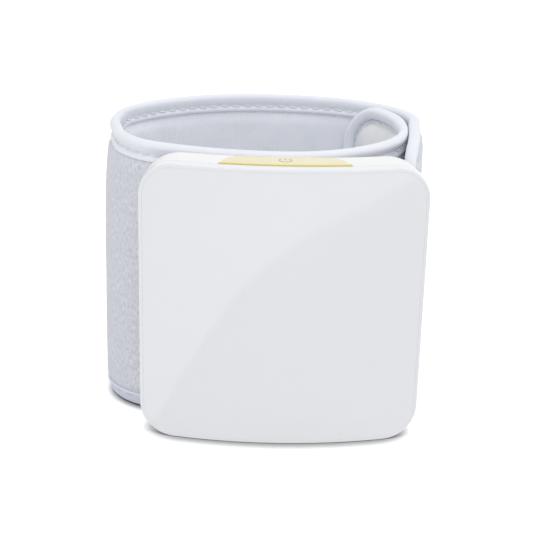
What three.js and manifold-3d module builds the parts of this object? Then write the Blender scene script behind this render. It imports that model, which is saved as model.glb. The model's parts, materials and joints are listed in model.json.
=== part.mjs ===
// Wrist blood pressure monitor: a curved unit with a start button in its top wall, and a preformed fabric
// cuff on its back. Millimetres, +Z up, +X to the right as seen from the front, +Y towards the cuff.
// The origin is the middle of the flat face that the unit stands on.

import * as THREE from "three";
import { mergeVertices } from "three/addons/utils/BufferGeometryUtils.js";
import Module from "manifold-3d";

const wasm = await Module();
wasm.setup();

// Case
const caseWidth = 72;
const caseHeight = 73;
const caseDepth = 12.8;
const frontRadius = 114.6; // plan radius of the bowed front
const cornerRadius = 8.6;
const frontWall = 2.2;
const sideWall = 1.6;
const backWall = 1.6;
const partingDepth = 3.8; // from the front surface back to the seam between the two shells
const seamGap = 0.3;
const panelInset = 0.9;
const panelThickness = 1;
const panelGap = 0.2;
const lipHeight = 1.2;
const lipThickness = 0.8;
const lipLedge = 1.5;
const fitGap = 0.3; // clearance that fitted pieces keep
const seatGap = 0.1; // clearance under a screw head

// Start button and its switch
const buttonFrontWidth = 32.4;
const buttonBackWidth = 26.8;
const buttonBackRim = 1.8; // of the case behind the button
const buttonCorner = 3;
const buttonProud = 0.4;
const buttonFlange = 1.2;
const buttonFlangeThickness = 0.8;
const buttonBossRadius = 1.6;
const buttonTravel = 0.5;
const switchWidth = 6;
const switchThickness = 3.5;
const switchHeight = 4.5;
const switchDrop = 0.5; // below the board's upper edge
const plungerRadius = 1.2;
const plungerStandOut = 1.6;
const plungerLength = 4.1;

// Screws
const screwRadius = 1;
const screwHeadRadius = 1.9;
const screwHeadHeight = 1.2;
const lowHeadHeight = 0.7;
const caseScrewSink = 3;
const caseScrewBite = 2.4;
const smallScrewRadius = 0.8;
const smallHeadRadius = 1.5;
const smallHeadHeight = 0.7;
const smallScrewBite = 2.4;
const postRadius = 3;
const boardPostRadius = 2;
const chargePostRadius = 1.6;

// Ribs that carry the inner pieces
const ribThickness = 1.2;
const ribInset = 2; // from the cell's edges
const cellRibShares = [0.22, 0.8]; // of the cell's width
const cradleThickness = 1.4;
const cradleInset = 5; // from the edge of the piece that a cradle carries
const footWidth = 6;
const footThickness = 1.8;

// Boards, cell and charging socket
const postSideRoom = 0.4; // between the corner posts and the cell
const boardFrontRoom = 0.4; // between the board's right edge and the bowed front
const boardLeft = -6;
const boardBottom = 3;
const boardTopSpace = 10.5; // from the top of the case down to the board
const boardThickness = 1;
const boardPortRoom = 0.05; // between the board and the air ports behind it
const boardScrewMargin = 1.2; // between a board post and the board's edge
const boardScrewRises = [7, 30]; // of the left screws above the board's lower edge
const boardScrewSpan = 19.3; // from the left screws to the right one
const boardScrewDrop = 5.5; // of the right screw below the board's upper edge
const chipSize = 7;
const chipThickness = 0.8;
const chipLeft = 1;
const chipRise = 14; // above the board's lower edge
const radioWidth = 10;
const radioHeight = 14;
const radioThickness = 1;
const radioLeft = 6;
const radioDrop = 9.5; // below the board's upper edge
const sensorSize = 7;
const sensorThickness = 3;
const sensorLeft = 0;
const sensorNippleLength = 2;
const cellLeft = 1;
const cellBottom = 6;
const cellTopRoom = 1.1; // below the pressure sensor
const cellBackRoom = 0.6; // for the ribs behind the cell
const padThickness = 0.4;
const padMargin = 2;
const chargeBoardRise = 4.7; // from the case's back forward to the board's front
const chargeBoardThickness = 0.8;
const chargeBoardWidth = 9;
const chargeBoardHeight = 15;
const chargeBoardDrop = 13.5; // from the top of the case down to the board
const chargeScrewMargin = 0.6;
const chargeScrewInset = 2;
const socketLength = 6.5;
const socketThickness = 2.6;
const socketWidth = 7.6;
const socketWall = 0.4;
const tongueThickness = 0.6;
const tongueWidth = 5.2;
const tongueLength = 4;

// Pump, valve and air lines
const pumpX = -12;
const pumpWidth = 10;
const pumpFrontRoom = 1.55;
const pumpBackRoom = 0.45;
const pumpBase = 8;
const pumpHeadHeight = 9.7;
const manifoldHeight = 10;
const cuffPortRise = 2;
const sensorPortDrop = 2.4;
const valveHeight = 12;
const valveTopSpace = 7.4; // from the top of the case down to the valve
const nippleLength = 3.4;
const nippleRadius = 1.2;
const sideNippleRadius = 1;
const sideNippleLength = 1;
const airBore = 0.5;
const tubeWall = 0.8;
const pumpTubeLength = 8.8;
const shaftRadius = 0.6;
const shaftFloor = 4.45; // from the motor's base up to the shaft
const crankRadius = 2.3;
const crankOffset = 0.6;
const crankHeight = 2.4;
const diaphragmThickness = 1;
const armatureRadius = 1.8;
const armatureLength = 6;
const armatureLift = 0.6;
const armatureSpringRoom = 2;
const inletX = -2.5;
const inletRadius = 2;
const sealRadius = 0.4;

// Cuff: its midline in plan is a chain of arcs, each with a radius and a turn in degrees, from the middle
// of the case's back. The long end goes left and round the loop, the short end goes right.
const longEndRadii = [72.5, 17, 40, 27.5, 47, 79.5, 25.5, 222];
const longEndTurns = [27, 26, 30, 49, 49, 18, 75, 9];
const shortEndRadii = [31.5, 42, 31, 54, 28.5];
const shortEndTurns = [31, 15, 36, 10, 57];
const cuffHeight = 73.4;
const cuffStep = 7;
const longEndCorner = 9;
const shortEndCorner = 12.6;
const fabricThickness = 0.6;
const sewnGap = 0.3; // between the outer fabric and the lining at the sewn edge
const bindingWidth = 5;
const tapeThickness = 0.5;
const tapeChamfer = 0.8;
const fabricEdge = 0.8; // from the binding's fold to the fabric's edge
const outerCrown = 2.3; // how far the outer fabric swells between its bindings
const shortCrown = 0.5;
const tipCrown = 1.2;
const liningCrown = 1.35;
const backLiningCrown = 0.6;
const shortLiningCrown = 2.1;
const outerCrownRise = [-45, -25]; // along the midline from the case, as are the next seven
const outerCrownFall = [155, 180];
const liningCrownDrop = [70, 110]; // from the front's crown to the back's
const liningCrownFall = [135, 165];
const liningCrownGain = [-44, -58]; // from the front's crown to the short end's
const leanRise = [26, 46]; // the left side leans out at its foot
const leanFall = [46, 70];
const drawRise = [46, 58]; // behind that it is drawn in
const drawFall = [70, 80];
const leanReach = 3.6;
const leanPivot = 0.92; // height that stays in place, as a share
const drawDepth = 1.2;
const crownRamp = 5;
const crownShoulder = 0.8; // share of the crown reached at the top of the ramp
const stiffenerInset = 11;
const stiffenerThickness = 0.6;
const bladderInset = 12;
const strapHinge = 84; // along the midline from the case
const tipHinge = 160;
const patchLength = 28;
const patchThickness = 0.7;
const patchMargin = 1.6;
const cuffBossRadius = 2.5;
const cuffScrewX = 12;
const cuffScrewBite = 1.2;

// Rounding of the facets and how far cutting solids reach past what they cut
const arcDivisions = 10;
const cornerDivisions = 3;
const flatLayerRows = 4;
const fabricCornerSteps = 4;
const bindingCornerSteps = 5;
const roundSides = 12;
const ringSides = 6;
const overrun = 2;
const embed = 0.4; // how deep a post's foot goes into the wall that carries it

const down = -Math.PI / 2;
const frontY = -caseDepth / 2;
const bendY = frontY + frontRadius;
const insideBack = caseDepth - backWall;
const buttonBackDepth = caseDepth - buttonBackRim;

function depthY(depth) {
  return frontY + depth;
}

// The Y of the bowed surface that lies a depth behind the front, at a given x.
function surfaceY(depth, x) {
  const radius = frontRadius - depth;
  return bendY - Math.sqrt(radius * radius - x * x);
}

// The x at which that surface comes back to a given y.
function surfaceReach(depth, y) {
  const radius = frontRadius - depth;
  return Math.sqrt(radius * radius - (bendY - y) ** 2);
}

// Solids

function solid(geometry) {
  const bare = geometry.clone();
  bare.deleteAttribute("normal");
  bare.deleteAttribute("uv");
  const merged = mergeVertices(bare, 1e-4);
  const body = new wasm.Mesh({
    numProp: 3,
    vertProperties: new Float32Array(merged.attributes.position.array),
    triVerts: new Uint32Array(merged.index.array),
  });
  return new wasm.Manifold(body);
}

function geometryOf(body) {
  const mesh = body.getMesh();
  const geometry = new THREE.BufferGeometry();
  geometry.setAttribute("position", new THREE.BufferAttribute(mesh.vertProperties, 3));
  geometry.setIndex(new THREE.BufferAttribute(mesh.triVerts, 1));
  geometry.computeVertexNormals();
  return geometry;
}

function block(x0, x1, y0, y1, z0, z1) {
  const geometry = new THREE.BoxGeometry(x1 - x0, y1 - y0, z1 - z0);
  geometry.translate((x0 + x1) / 2, (y0 + y1) / 2, (z0 + z1) / 2);
  return solid(geometry);
}

function rodX(radius, y, z, x0, x1) {
  const geometry = new THREE.CylinderGeometry(radius, radius, x1 - x0, roundSides);
  geometry.rotateZ(Math.PI / 2);
  geometry.translate((x0 + x1) / 2, y, z);
  return solid(geometry);
}

function rodY(radius, x, z, y0, y1) {
  const geometry = new THREE.CylinderGeometry(radius, radius, y1 - y0, roundSides);
  geometry.translate(x, (y0 + y1) / 2, z);
  return solid(geometry);
}

function rodZ(radius, x, y, z0, z1) {
  const geometry = new THREE.CylinderGeometry(radius, radius, z1 - z0, roundSides);
  geometry.rotateX(Math.PI / 2);
  geometry.translate(x, y, (z0 + z1) / 2);
  return solid(geometry);
}

// A plan shape in X and Y, extruded up from z0 to z1.
function prism(shape, z0, z1, curveSegments) {
  const options = { depth: z1 - z0, bevelEnabled: false, curveSegments };
  const geometry = new THREE.ExtrudeGeometry(shape, options);
  geometry.translate(0, 0, z0);
  return solid(geometry);
}

// A front view shape in X and Z, extruded back from y0 to y1.
function plate(shape, y0, y1, curveSegments) {
  const options = { depth: y1 - y0, bevelEnabled: false, curveSegments };
  const geometry = new THREE.ExtrudeGeometry(shape, options);
  geometry.rotateX(Math.PI / 2);
  geometry.translate(0, y1, 0);
  return solid(geometry);
}

// Bowed case blocks

function sectorShape(depthA, depthB) {
  const reach = caseWidth / 2 + overrun;
  const front = frontRadius - depthA;
  const back = frontRadius - depthB;
  const frontAngle = Math.asin(reach / front);
  const backAngle = Math.asin(reach / back);
  const shape = new THREE.Shape();
  shape.absarc(0, bendY, front, down - frontAngle, down + frontAngle, false);
  shape.absarc(0, bendY, back, down + backAngle, down - backAngle, true);
  return shape;
}

function outlineShape(inset) {
  const radius = cornerRadius - inset;
  const x = caseWidth / 2 - cornerRadius;
  const low = cornerRadius;
  const high = caseHeight - cornerRadius;
  const shape = new THREE.Shape();
  shape.absarc(x, low, radius, -Math.PI / 2, 0, false);
  shape.absarc(x, high, radius, 0, Math.PI / 2, false);
  shape.absarc(-x, high, radius, Math.PI / 2, Math.PI, false);
  shape.absarc(-x, low, radius, Math.PI, Math.PI * 1.5, false);
  return shape;
}

// The part of the bowed slab between two depths, with its front outline drawn in by an inset.
function bowed(depthA, depthB, inset) {
  const reach = caseDepth + frontRadius;
  const sector = prism(sectorShape(depthA, depthB), -overrun, caseHeight + overrun, arcDivisions);
  const outline = plate(outlineShape(inset), -reach, reach, cornerDivisions);
  return sector.intersect(outline);
}

// Cuff surface: s runs along the midline from the case's back, positive along the long end,
// z is height and n is the distance from the midline towards the wrist.

const sewnHalf = fabricThickness + sewnGap / 2;
const cuffStartY = caseDepth / 2 + fitGap + sewnHalf + outerCrown;

function arcsOf(radii, turns) {
  return radii.map((radius, i) => ({ radius, turn: THREE.MathUtils.degToRad(turns[i]) }));
}

function arcsLength(arcs) {
  return arcs.reduce((sum, { radius, turn }) => sum + radius * turn, 0);
}

const longEndArcs = arcsOf(longEndRadii, longEndTurns);
const shortEndArcs = arcsOf(shortEndRadii, shortEndTurns);
const longEnd = arcsLength(longEndArcs);
const shortEnd = -arcsLength(shortEndArcs);

function walk(arcs, distance) {
  let x = 0;
  let y = 0;
  let heading = 0;
  let left = distance;
  for (const { radius, turn } of arcs) {
    const angle = Math.min(turn, left / radius);
    x += radius * (Math.sin(heading + angle) - Math.sin(heading));
    y += radius * (Math.cos(heading) - Math.cos(heading + angle));
    heading += angle;
    left -= radius * angle;
  }
  return { x: x + left * Math.cos(heading), y: y + left * Math.sin(heading), heading };
}

function ease(value) {
  const t = Math.min(Math.max(value, 0), 1);
  return t * t * (3 - 2 * t);
}

function easeAlong(s, [from, to]) {
  return ease((s - from) / (to - from));
}

// How far the band stands off its midline at a place: it leans and is drawn in on its left side.
function standOff(s, z) {
  const lean = easeAlong(s, leanRise) * (1 - easeAlong(s, leanFall));
  const draw = easeAlong(s, drawRise) * (1 - easeAlong(s, drawFall));
  return leanReach * lean * (z / cuffHeight - leanPivot) + drawDepth * draw;
}

function cuffPoint(s, z, n) {
  const side = s < 0 ? 1 : -1;
  const at = walk(s < 0 ? shortEndArcs : longEndArcs, Math.abs(s));
  const off = n + standOff(s, z);
  const x = side * (at.x - off * Math.sin(at.heading));
  return new THREE.Vector3(x, cuffStartY + at.y + off * Math.cos(at.heading), z);
}

// A closed solid through stations that each hold an outer and an inner chain of points.
function loft(stations) {
  const count = stations[0].outer.length;
  const ring = 2 * count;
  const last = (stations.length - 1) * ring;
  const positions = [];
  for (const { outer, inner } of stations) {
    for (const point of [...outer, ...inner.toReversed()]) {
      positions.push(point.x, point.y, point.z);
    }
  }
  const faces = [];
  for (let start = 0; start < last; start += ring) {
    for (let j = 0; j < ring; j++) {
      const a = start + j;
      const b = start + ((j + 1) % ring);
      faces.push(a, b, b + ring);
      faces.push(a, b + ring, a + ring);
    }
  }
  for (let j = 0; j + 1 < count; j++) {
    const k = ring - 1 - j;
    faces.push(j + 1, j, k);
    faces.push(j + 1, k, k - 1);
    faces.push(last + j, last + j + 1, last + k);
    faces.push(last + j + 1, last + k - 1, last + k);
  }
  const geometry = new THREE.BufferGeometry();
  geometry.setAttribute("position", new THREE.Float32BufferAttribute(positions, 3));
  geometry.setIndex(faces);
  const body = solid(geometry);
  if (body.volume() > 0) return body;
  geometry.setIndex(faces.toReversed());
  return solid(geometry);
}

// Stations from start to end on one grid for all layers, so that their facets lie side by side.
function stationsBetween(start, end) {
  const low = Math.min(start, end) + cuffStep / 3;
  const high = Math.max(start, end) - cuffStep / 3;
  const first = Math.ceil(low / cuffStep);
  const count = Math.floor(high / cuffStep) - first + 1;
  const grid = Array.from({ length: Math.max(count, 0) }, (_, i) => (first + i) * cuffStep);
  return [start, ...(start < end ? grid : grid.toReversed()), end];
}

// One layer of the cuff between two faces, given as functions of s and z.
function layer(along, rows, outerFace, innerFace) {
  const stations = along.map((s) => {
    const heights = rows(s);
    return {
      outer: heights.map((z) => cuffPoint(s, z, outerFace(s, z))),
      inner: heights.map((z) => cuffPoint(s, z, innerFace(s, z))),
    };
  });
  return loft(stations);
}

// How far each face swells along the cuff: the outer one less at the short end and at the tip.
function outerCrownAt(s) {
  const front = shortCrown + (outerCrown - shortCrown) * easeAlong(s, outerCrownRise);
  return front + (tipCrown - outerCrown) * easeAlong(s, outerCrownFall);
}

function liningCrownAt(s) {
  const front = 1 - easeAlong(s, liningCrownDrop);
  const back = 1 - easeAlong(s, liningCrownFall);
  const gain = (shortLiningCrown - liningCrown) * easeAlong(s, liningCrownGain);
  return backLiningCrown * back + (liningCrown - backLiningCrown) * front + gain;
}

function endCorner(end) {
  return end < 0 ? shortEndCorner : longEndCorner;
}

// Distance from the band's outline, which has round corners at its end.
function edgeDistance(s, z, end) {
  const radius = endCorner(end);
  const fromSide = Math.min(z, cuffHeight - z);
  const fromEnd = Math.abs(end - s);
  if (fromSide > radius || fromEnd > radius) return Math.min(fromSide, fromEnd);
  return radius - Math.hypot(radius - fromSide, radius - fromEnd);
}

// Share of the crown at a height, rising from the binding to the middle of the band.
function crownShare(s, z, end) {
  const inset = bindingWidth + fitGap;
  const fromEdge = edgeDistance(s, z, end) - inset;
  const middle = cuffHeight / 2 - inset;
  const fullness = crownShoulder + (1 - crownShoulder) * Math.min(Math.max(fromEdge / middle, 0), 1);
  return ease(fromEdge / crownRamp) * fullness;
}

// Heights of a fabric layer's rows at s. Its free end has round corners.
function fabricRows(end) {
  return (s) => {
    const fromEnd = Math.abs(end - s) - fabricEdge;
    const radius = endCorner(end) - fabricEdge;
    const inCorner = Math.max(radius - fromEnd, 0);
    const cut = radius - Math.sqrt(Math.max(radius * radius - inCorner * inCorner, 0));
    const low = fabricEdge + cut;
    const rampStart = bindingWidth + fitGap - fabricEdge;
    const offsets = [0, rampStart, rampStart + crownRamp / 2, rampStart + crownRamp];
    const lower = offsets.map((offset) => low + offset);
    const upper = lower.map((z) => cuffHeight - z).toReversed();
    return [...lower, cuffHeight / 2, ...upper];
  };
}

// Stations of a fabric layer from a split to a free end, closer together in the end's round corners.
function fabricStations(start, end) {
  const sign = Math.sign(end - start);
  const radius = endCorner(end) - fabricEdge;
  const cornerStart = end - sign * endCorner(end);
  const corner = Array.from({ length: fabricCornerSteps }, (_, k) => {
    const angle = ((k + 1) * Math.PI) / 2 / fabricCornerSteps;
    return cornerStart + sign * radius * Math.sin(angle);
  });
  return [...stationsBetween(start, cornerStart), ...corner];
}

function outerFace(end) {
  return (s, z) => -sewnHalf - outerCrownAt(s) * crownShare(s, z, end);
}

function liningFace(end) {
  return (s, z) => sewnHalf + liningCrownAt(s) * crownShare(s, z, end);
}

function outerFabric(along, end) {
  const face = outerFace(end);
  return layer(along, fabricRows(end), face, (s, z) => face(s, z) + fabricThickness);
}

function lining(along, end) {
  const face = liningFace(end);
  return layer(along, fabricRows(end), (s, z) => face(s, z) - fabricThickness, face);
}

// Faces of the flat layers between the two fabrics.
function stiffenerOuter(s) {
  return -sewnGap / 2 - outerCrownAt(s) * crownShoulder + fitGap;
}

function stiffenerInner(s) {
  return stiffenerOuter(s) + stiffenerThickness;
}

function fillInner(s) {
  return sewnGap / 2 + liningCrownAt(s) * crownShoulder - fitGap;
}

function fillOuter(s) {
  return stiffenerInner(s) + fitGap;
}

function insetRows(inset) {
  const height = cuffHeight - 2 * inset;
  const rows = Array.from({ length: flatLayerRows + 1 }, (_, i) => inset + (height * i) / flatLayerRows);
  return () => rows;
}

// Edge binding: a folded tape that follows the band's outline and covers both faces.
function binding(edge) {
  const outside = sewnHalf + fitGap + tapeThickness;
  const inside = sewnHalf + fitGap;
  const fold = outside - tapeChamfer;
  const outerChain = [
    [bindingWidth, -outside],
    [tapeChamfer, -outside],
    [0, -fold],
    [0, fold],
    [tapeChamfer, outside],
    [bindingWidth, outside],
  ];
  const innerFold = inside - tapeThickness;
  const innerChain = [
    [bindingWidth, -inside],
    [tapeThickness + innerFold / 2, -inside],
    [tapeThickness, -innerFold],
    [tapeThickness, innerFold],
    [tapeThickness + innerFold / 2, inside],
    [bindingWidth, inside],
  ];
  const place = ({ s, z, inS, inZ }, [e, n]) => cuffPoint(s + e * inS, z + e * inZ, n);
  const stations = edge.map((at) => ({
    outer: outerChain.map((point) => place(at, point)),
    inner: innerChain.map((point) => place(at, point)),
  }));
  return loft(stations);
}

function straightEdge(along, z, inZ) {
  return along.map((s) => ({ s, z, inS: 0, inZ }));
}

// The outline from a split along the top edge, round the free end and back along the bottom edge.
function edgeRound(start, end) {
  const sign = Math.sign(end - start);
  const radius = endCorner(end);
  const centre = end - sign * radius;
  const along = stationsBetween(start, centre);
  const corner = (height, from) =>
    Array.from({ length: bindingCornerSteps + 1 }, (_, k) => {
      const angle = from - (k * Math.PI) / 2 / bindingCornerSteps;
      const across = Math.cos(angle);
      const up = Math.sin(angle);
      return {
        s: centre + sign * radius * across,
        z: height + radius * up,
        inS: -sign * across,
        inZ: -up,
      };
    });
  return [
    ...straightEdge(along.slice(0, -1), cuffHeight, -1),
    ...corner(cuffHeight - radius, Math.PI / 2),
    ...corner(radius, 0),
    ...straightEdge(along.toReversed().slice(1), 0, 1),
  ];
}

// Screws

function screwY(x, z, seatY, towards, bite, radius, headRadius, headHeight) {
  const low = Math.min(seatY, seatY + towards * bite);
  const high = Math.max(seatY, seatY + towards * bite);
  const headTop = seatY - towards * headHeight;
  const shank = rodY(radius, x, z, low - embed, high + embed);
  const bottom = seatY - towards * seatGap;
  const head = rodY(headRadius, x, z, Math.min(bottom, headTop), Math.max(bottom, headTop));
  const trim = towards > 0 ? rodY(headRadius, x, z, headTop, high) : rodY(headRadius, x, z, low, headTop);
  return shank.add(head).intersect(trim);
}

// Materials

function finish(color, roughness, metalness = 0) {
  return new THREE.MeshStandardMaterial({ color, roughness, metalness });
}

const glossWhite = finish(0xe6e7ea, 0.15);
const satinWhite = finish(0xf6f6f6, 0.4);
const buttonYellow = finish(0xece4c3, 0.35);
const greyFabric = finish(0xc8c9d0, 0.95);
const greyLining = finish(0xbec0c4, 0.95);
const paleBinding = finish(0xd6d7de, 0.9);
const boardGreen = finish(0x2c5a3c, 0.5);
const blackPlastic = finish(0x222326, 0.5);
const paleRubber = finish(0xd9d6cc, 0.6);
const steel = finish(0xb9bcc0, 0.35, 1);
const brass = finish(0xc9a75a, 0.35, 1);
const foil = finish(0xc4c7cc, 0.4, 0.6);
const clearPlastic = finish(0xd8dcde, 0.3);

const monitor = new THREE.Group();

function addPart(name, body, material) {
  const mesh = new THREE.Mesh(geometryOf(body), material);
  mesh.name = name;
  monitor.add(mesh);
}

// Places that several pieces share

const postX = caseWidth / 2 - cornerRadius;
const postPlaces = [-postX, postX].flatMap((x) => [
  { x, z: cornerRadius },
  { x, z: caseHeight - cornerRadius },
]);
const postSplitY = (surfaceY(frontWall, postX) + surfaceY(insideBack, postX)) / 2;
const caseSeatY = surfaceY(caseDepth, postX) - caseScrewSink;
const caseTipY = postSplitY - caseScrewBite;
const postSideX = postX - postRadius - postSideRoom;

const pumpFrontY = depthY(frontWall + pumpFrontRoom);
const pumpBackY = depthY(insideBack - pumpBackRoom);
const pumpThickness = pumpBackY - pumpFrontY;
const pumpY = (pumpFrontY + pumpBackY) / 2;
const pumpLeft = pumpX - pumpWidth / 2;
const pumpRight = pumpX + pumpWidth / 2;
const valveTop = caseHeight - valveTopSpace;
const valveBottom = valveTop - valveHeight;
const manifoldTop = valveBottom - 2 * fitGap;
const manifoldBottom = manifoldTop - manifoldHeight;
const headTop = manifoldBottom - pumpTubeLength - fitGap / 2;
const headBottom = headTop - pumpHeadHeight;
const motorTop = headBottom - fitGap;
const cuffPortZ = manifoldBottom + cuffPortRise;
const sensorPortZ = manifoldTop - sensorPortDrop;
const inletZ = cuffPortZ;

const boardBackY = pumpY - sideNippleRadius - boardPortRoom;
const boardFrontY = boardBackY - boardThickness;
const boardRight = surfaceReach(frontWall, boardFrontY - boardFrontRoom);
const boardTop = caseHeight - boardTopSpace;
const cellFrontY = boardBackY + padThickness + 2 * seatGap;
const cellBackY = depthY(insideBack - cellBackRoom);
const cellRight = postSideX;
const cellWidth = cellRight - cellLeft;
const cellTop = sensorPortZ - sensorSize / 2 - cellTopRoom;
const boardScrewInset = boardPostRadius + boardScrewMargin;
const boardPlaces = [
  ...boardScrewRises.map((rise) => ({ x: boardLeft + boardScrewInset, z: boardBottom + rise })),
  { x: boardLeft + boardScrewInset + boardScrewSpan, z: boardTop - boardScrewDrop },
];

const chargeRight = caseWidth / 2 - sideWall - 2 * fitGap;
const chargeLeft = chargeRight - chargeBoardWidth;
const chargeFrontY = surfaceY(caseDepth - chargeBoardRise, chargeLeft);
const chargeBackY = chargeFrontY + chargeBoardThickness;
const chargeBoardBottom = caseHeight - chargeBoardDrop - chargeBoardHeight;
const chargePlaces = [chargeScrewInset, chargeBoardHeight - chargeScrewInset].map((rise) => ({
  x: chargeLeft + chargePostRadius + chargeScrewMargin,
  z: chargeBoardBottom + rise,
}));
const socketY = chargeBackY + fitGap + socketThickness / 2;
const socketZ = chargeBoardBottom + chargeBoardHeight / 2;
const socketRight = caseWidth / 2 - fitGap;
const socketLeft = socketRight - socketLength;

const switchFrontY = boardBackY + seatGap;
const switchY = switchFrontY + switchThickness / 2;
const switchTop = boardTop - switchDrop;
const switchBottom = switchTop - switchHeight;
const plungerTop = switchTop + plungerStandOut;

const cuffScrewPlaces = [-cuffScrewX, cuffScrewX].flatMap((x) => [
  { x, z: caseHeight / 4 },
  { x, z: (caseHeight * 3) / 4 },
]);
const cuffSeatY = surfaceY(insideBack, cuffScrewX);
const cuffBossY = surfaceY(caseDepth, cuffScrewX + cuffBossRadius) + fitGap;
const cuffTipY = cuffBossY + cuffScrewBite;

// Front cover and panel

function frontCover() {
  const skirt = bowed(0, partingDepth - seamGap, 0);
  const hollow = bowed(frontWall, partingDepth + overrun, sideWall);
  const recess = bowed(-overrun, panelThickness + panelGap, panelInset);
  const bossRegion = bowed(frontWall - embed, caseDepth, sideWall / 2);
  let cover = skirt.subtract(hollow).subtract(recess);
  for (const { x, z } of postPlaces) {
    const boss = rodY(postRadius, x, z, frontY - overrun, postSplitY - fitGap / 2);
    const pilot = rodY(screwRadius + fitGap, x, z, caseTipY - fitGap, postSplitY + overrun);
    cover = cover.add(boss.intersect(bossRegion)).subtract(pilot);
  }
  return cover;
}

addPart("front_panel", bowed(0, panelThickness, panelInset + panelGap), glossWhite);
addPart("front_cover", frontCover(), glossWhite);

// Start button

// Half the button's width at a depth: its sides draw in from the seam to its back edge.
function buttonHalf(depth) {
  const slope = (buttonBackWidth - buttonFrontWidth) / 2 / (buttonBackDepth - partingDepth);
  return buttonFrontWidth / 2 + slope * (depth - partingDepth);
}

function buttonShape(frontDepth, backDepth, grow) {
  const halfFront = buttonHalf(frontDepth) + grow;
  const halfBack = buttonHalf(backDepth) + grow;
  const frontAngle = Math.asin(halfFront / (frontRadius - frontDepth));
  const backAngle = Math.asin((halfBack - buttonCorner) / (frontRadius - backDepth));
  const frontCorner = new THREE.Vector2(halfFront, surfaceY(frontDepth, halfFront));
  const backCorner = new THREE.Vector2(halfBack, surfaceY(backDepth, halfBack));
  const side = backCorner.clone().lerp(frontCorner, buttonCorner / backCorner.distanceTo(frontCorner));
  const backStart = surfaceY(backDepth, halfBack - buttonCorner);
  const shape = new THREE.Shape();
  shape.absarc(0, bendY, frontRadius - frontDepth, down - frontAngle, down + frontAngle, false);
  shape.lineTo(side.x, side.y);
  shape.quadraticCurveTo(backCorner.x, backCorner.y, halfBack - buttonCorner, backStart);
  shape.absarc(0, bendY, frontRadius - backDepth, down + backAngle, down - backAngle, true);
  shape.quadraticCurveTo(-backCorner.x, backCorner.y, -side.x, side.y);
  return shape;
}

function startButton() {
  const flangeTop = caseHeight - sideWall - fitGap;
  const flangeBottom = flangeTop - buttonFlangeThickness;
  const cap = buttonShape(partingDepth, buttonBackDepth, 0);
  const flangeBack = insideBack - 2 * fitGap;
  const flange = buttonShape(frontWall + 2 * fitGap, flangeBack, buttonFlange);
  const boss = rodZ(buttonBossRadius, 0, switchY, plungerTop + fitGap, flangeTop);
  return prism(cap, flangeBottom, caseHeight + buttonProud, cornerDivisions)
    .add(prism(flange, flangeBottom, flangeTop, cornerDivisions))
    .add(boss);
}

addPart("start_button", startButton(), buttonYellow);

// Rear case

// The charging socket's outline, grown or shrunk, between two x.
function socketBlock(x0, x1, grow) {
  const halfY = socketThickness / 2 + grow;
  const halfZ = socketWidth / 2 + grow;
  return block(x0, x1, socketY - halfY, socketY + halfY, socketZ - halfZ, socketZ + halfZ);
}

// The space that the charge board takes, with its clearance to the lip round the case.
function chargeBoardRoom() {
  const low = chargeBoardBottom - fitGap;
  const high = chargeBoardBottom + chargeBoardHeight + fitGap;
  return block(chargeLeft, chargeRight + fitGap, chargeFrontY - seatGap, chargeBackY, low, high);
}

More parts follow.
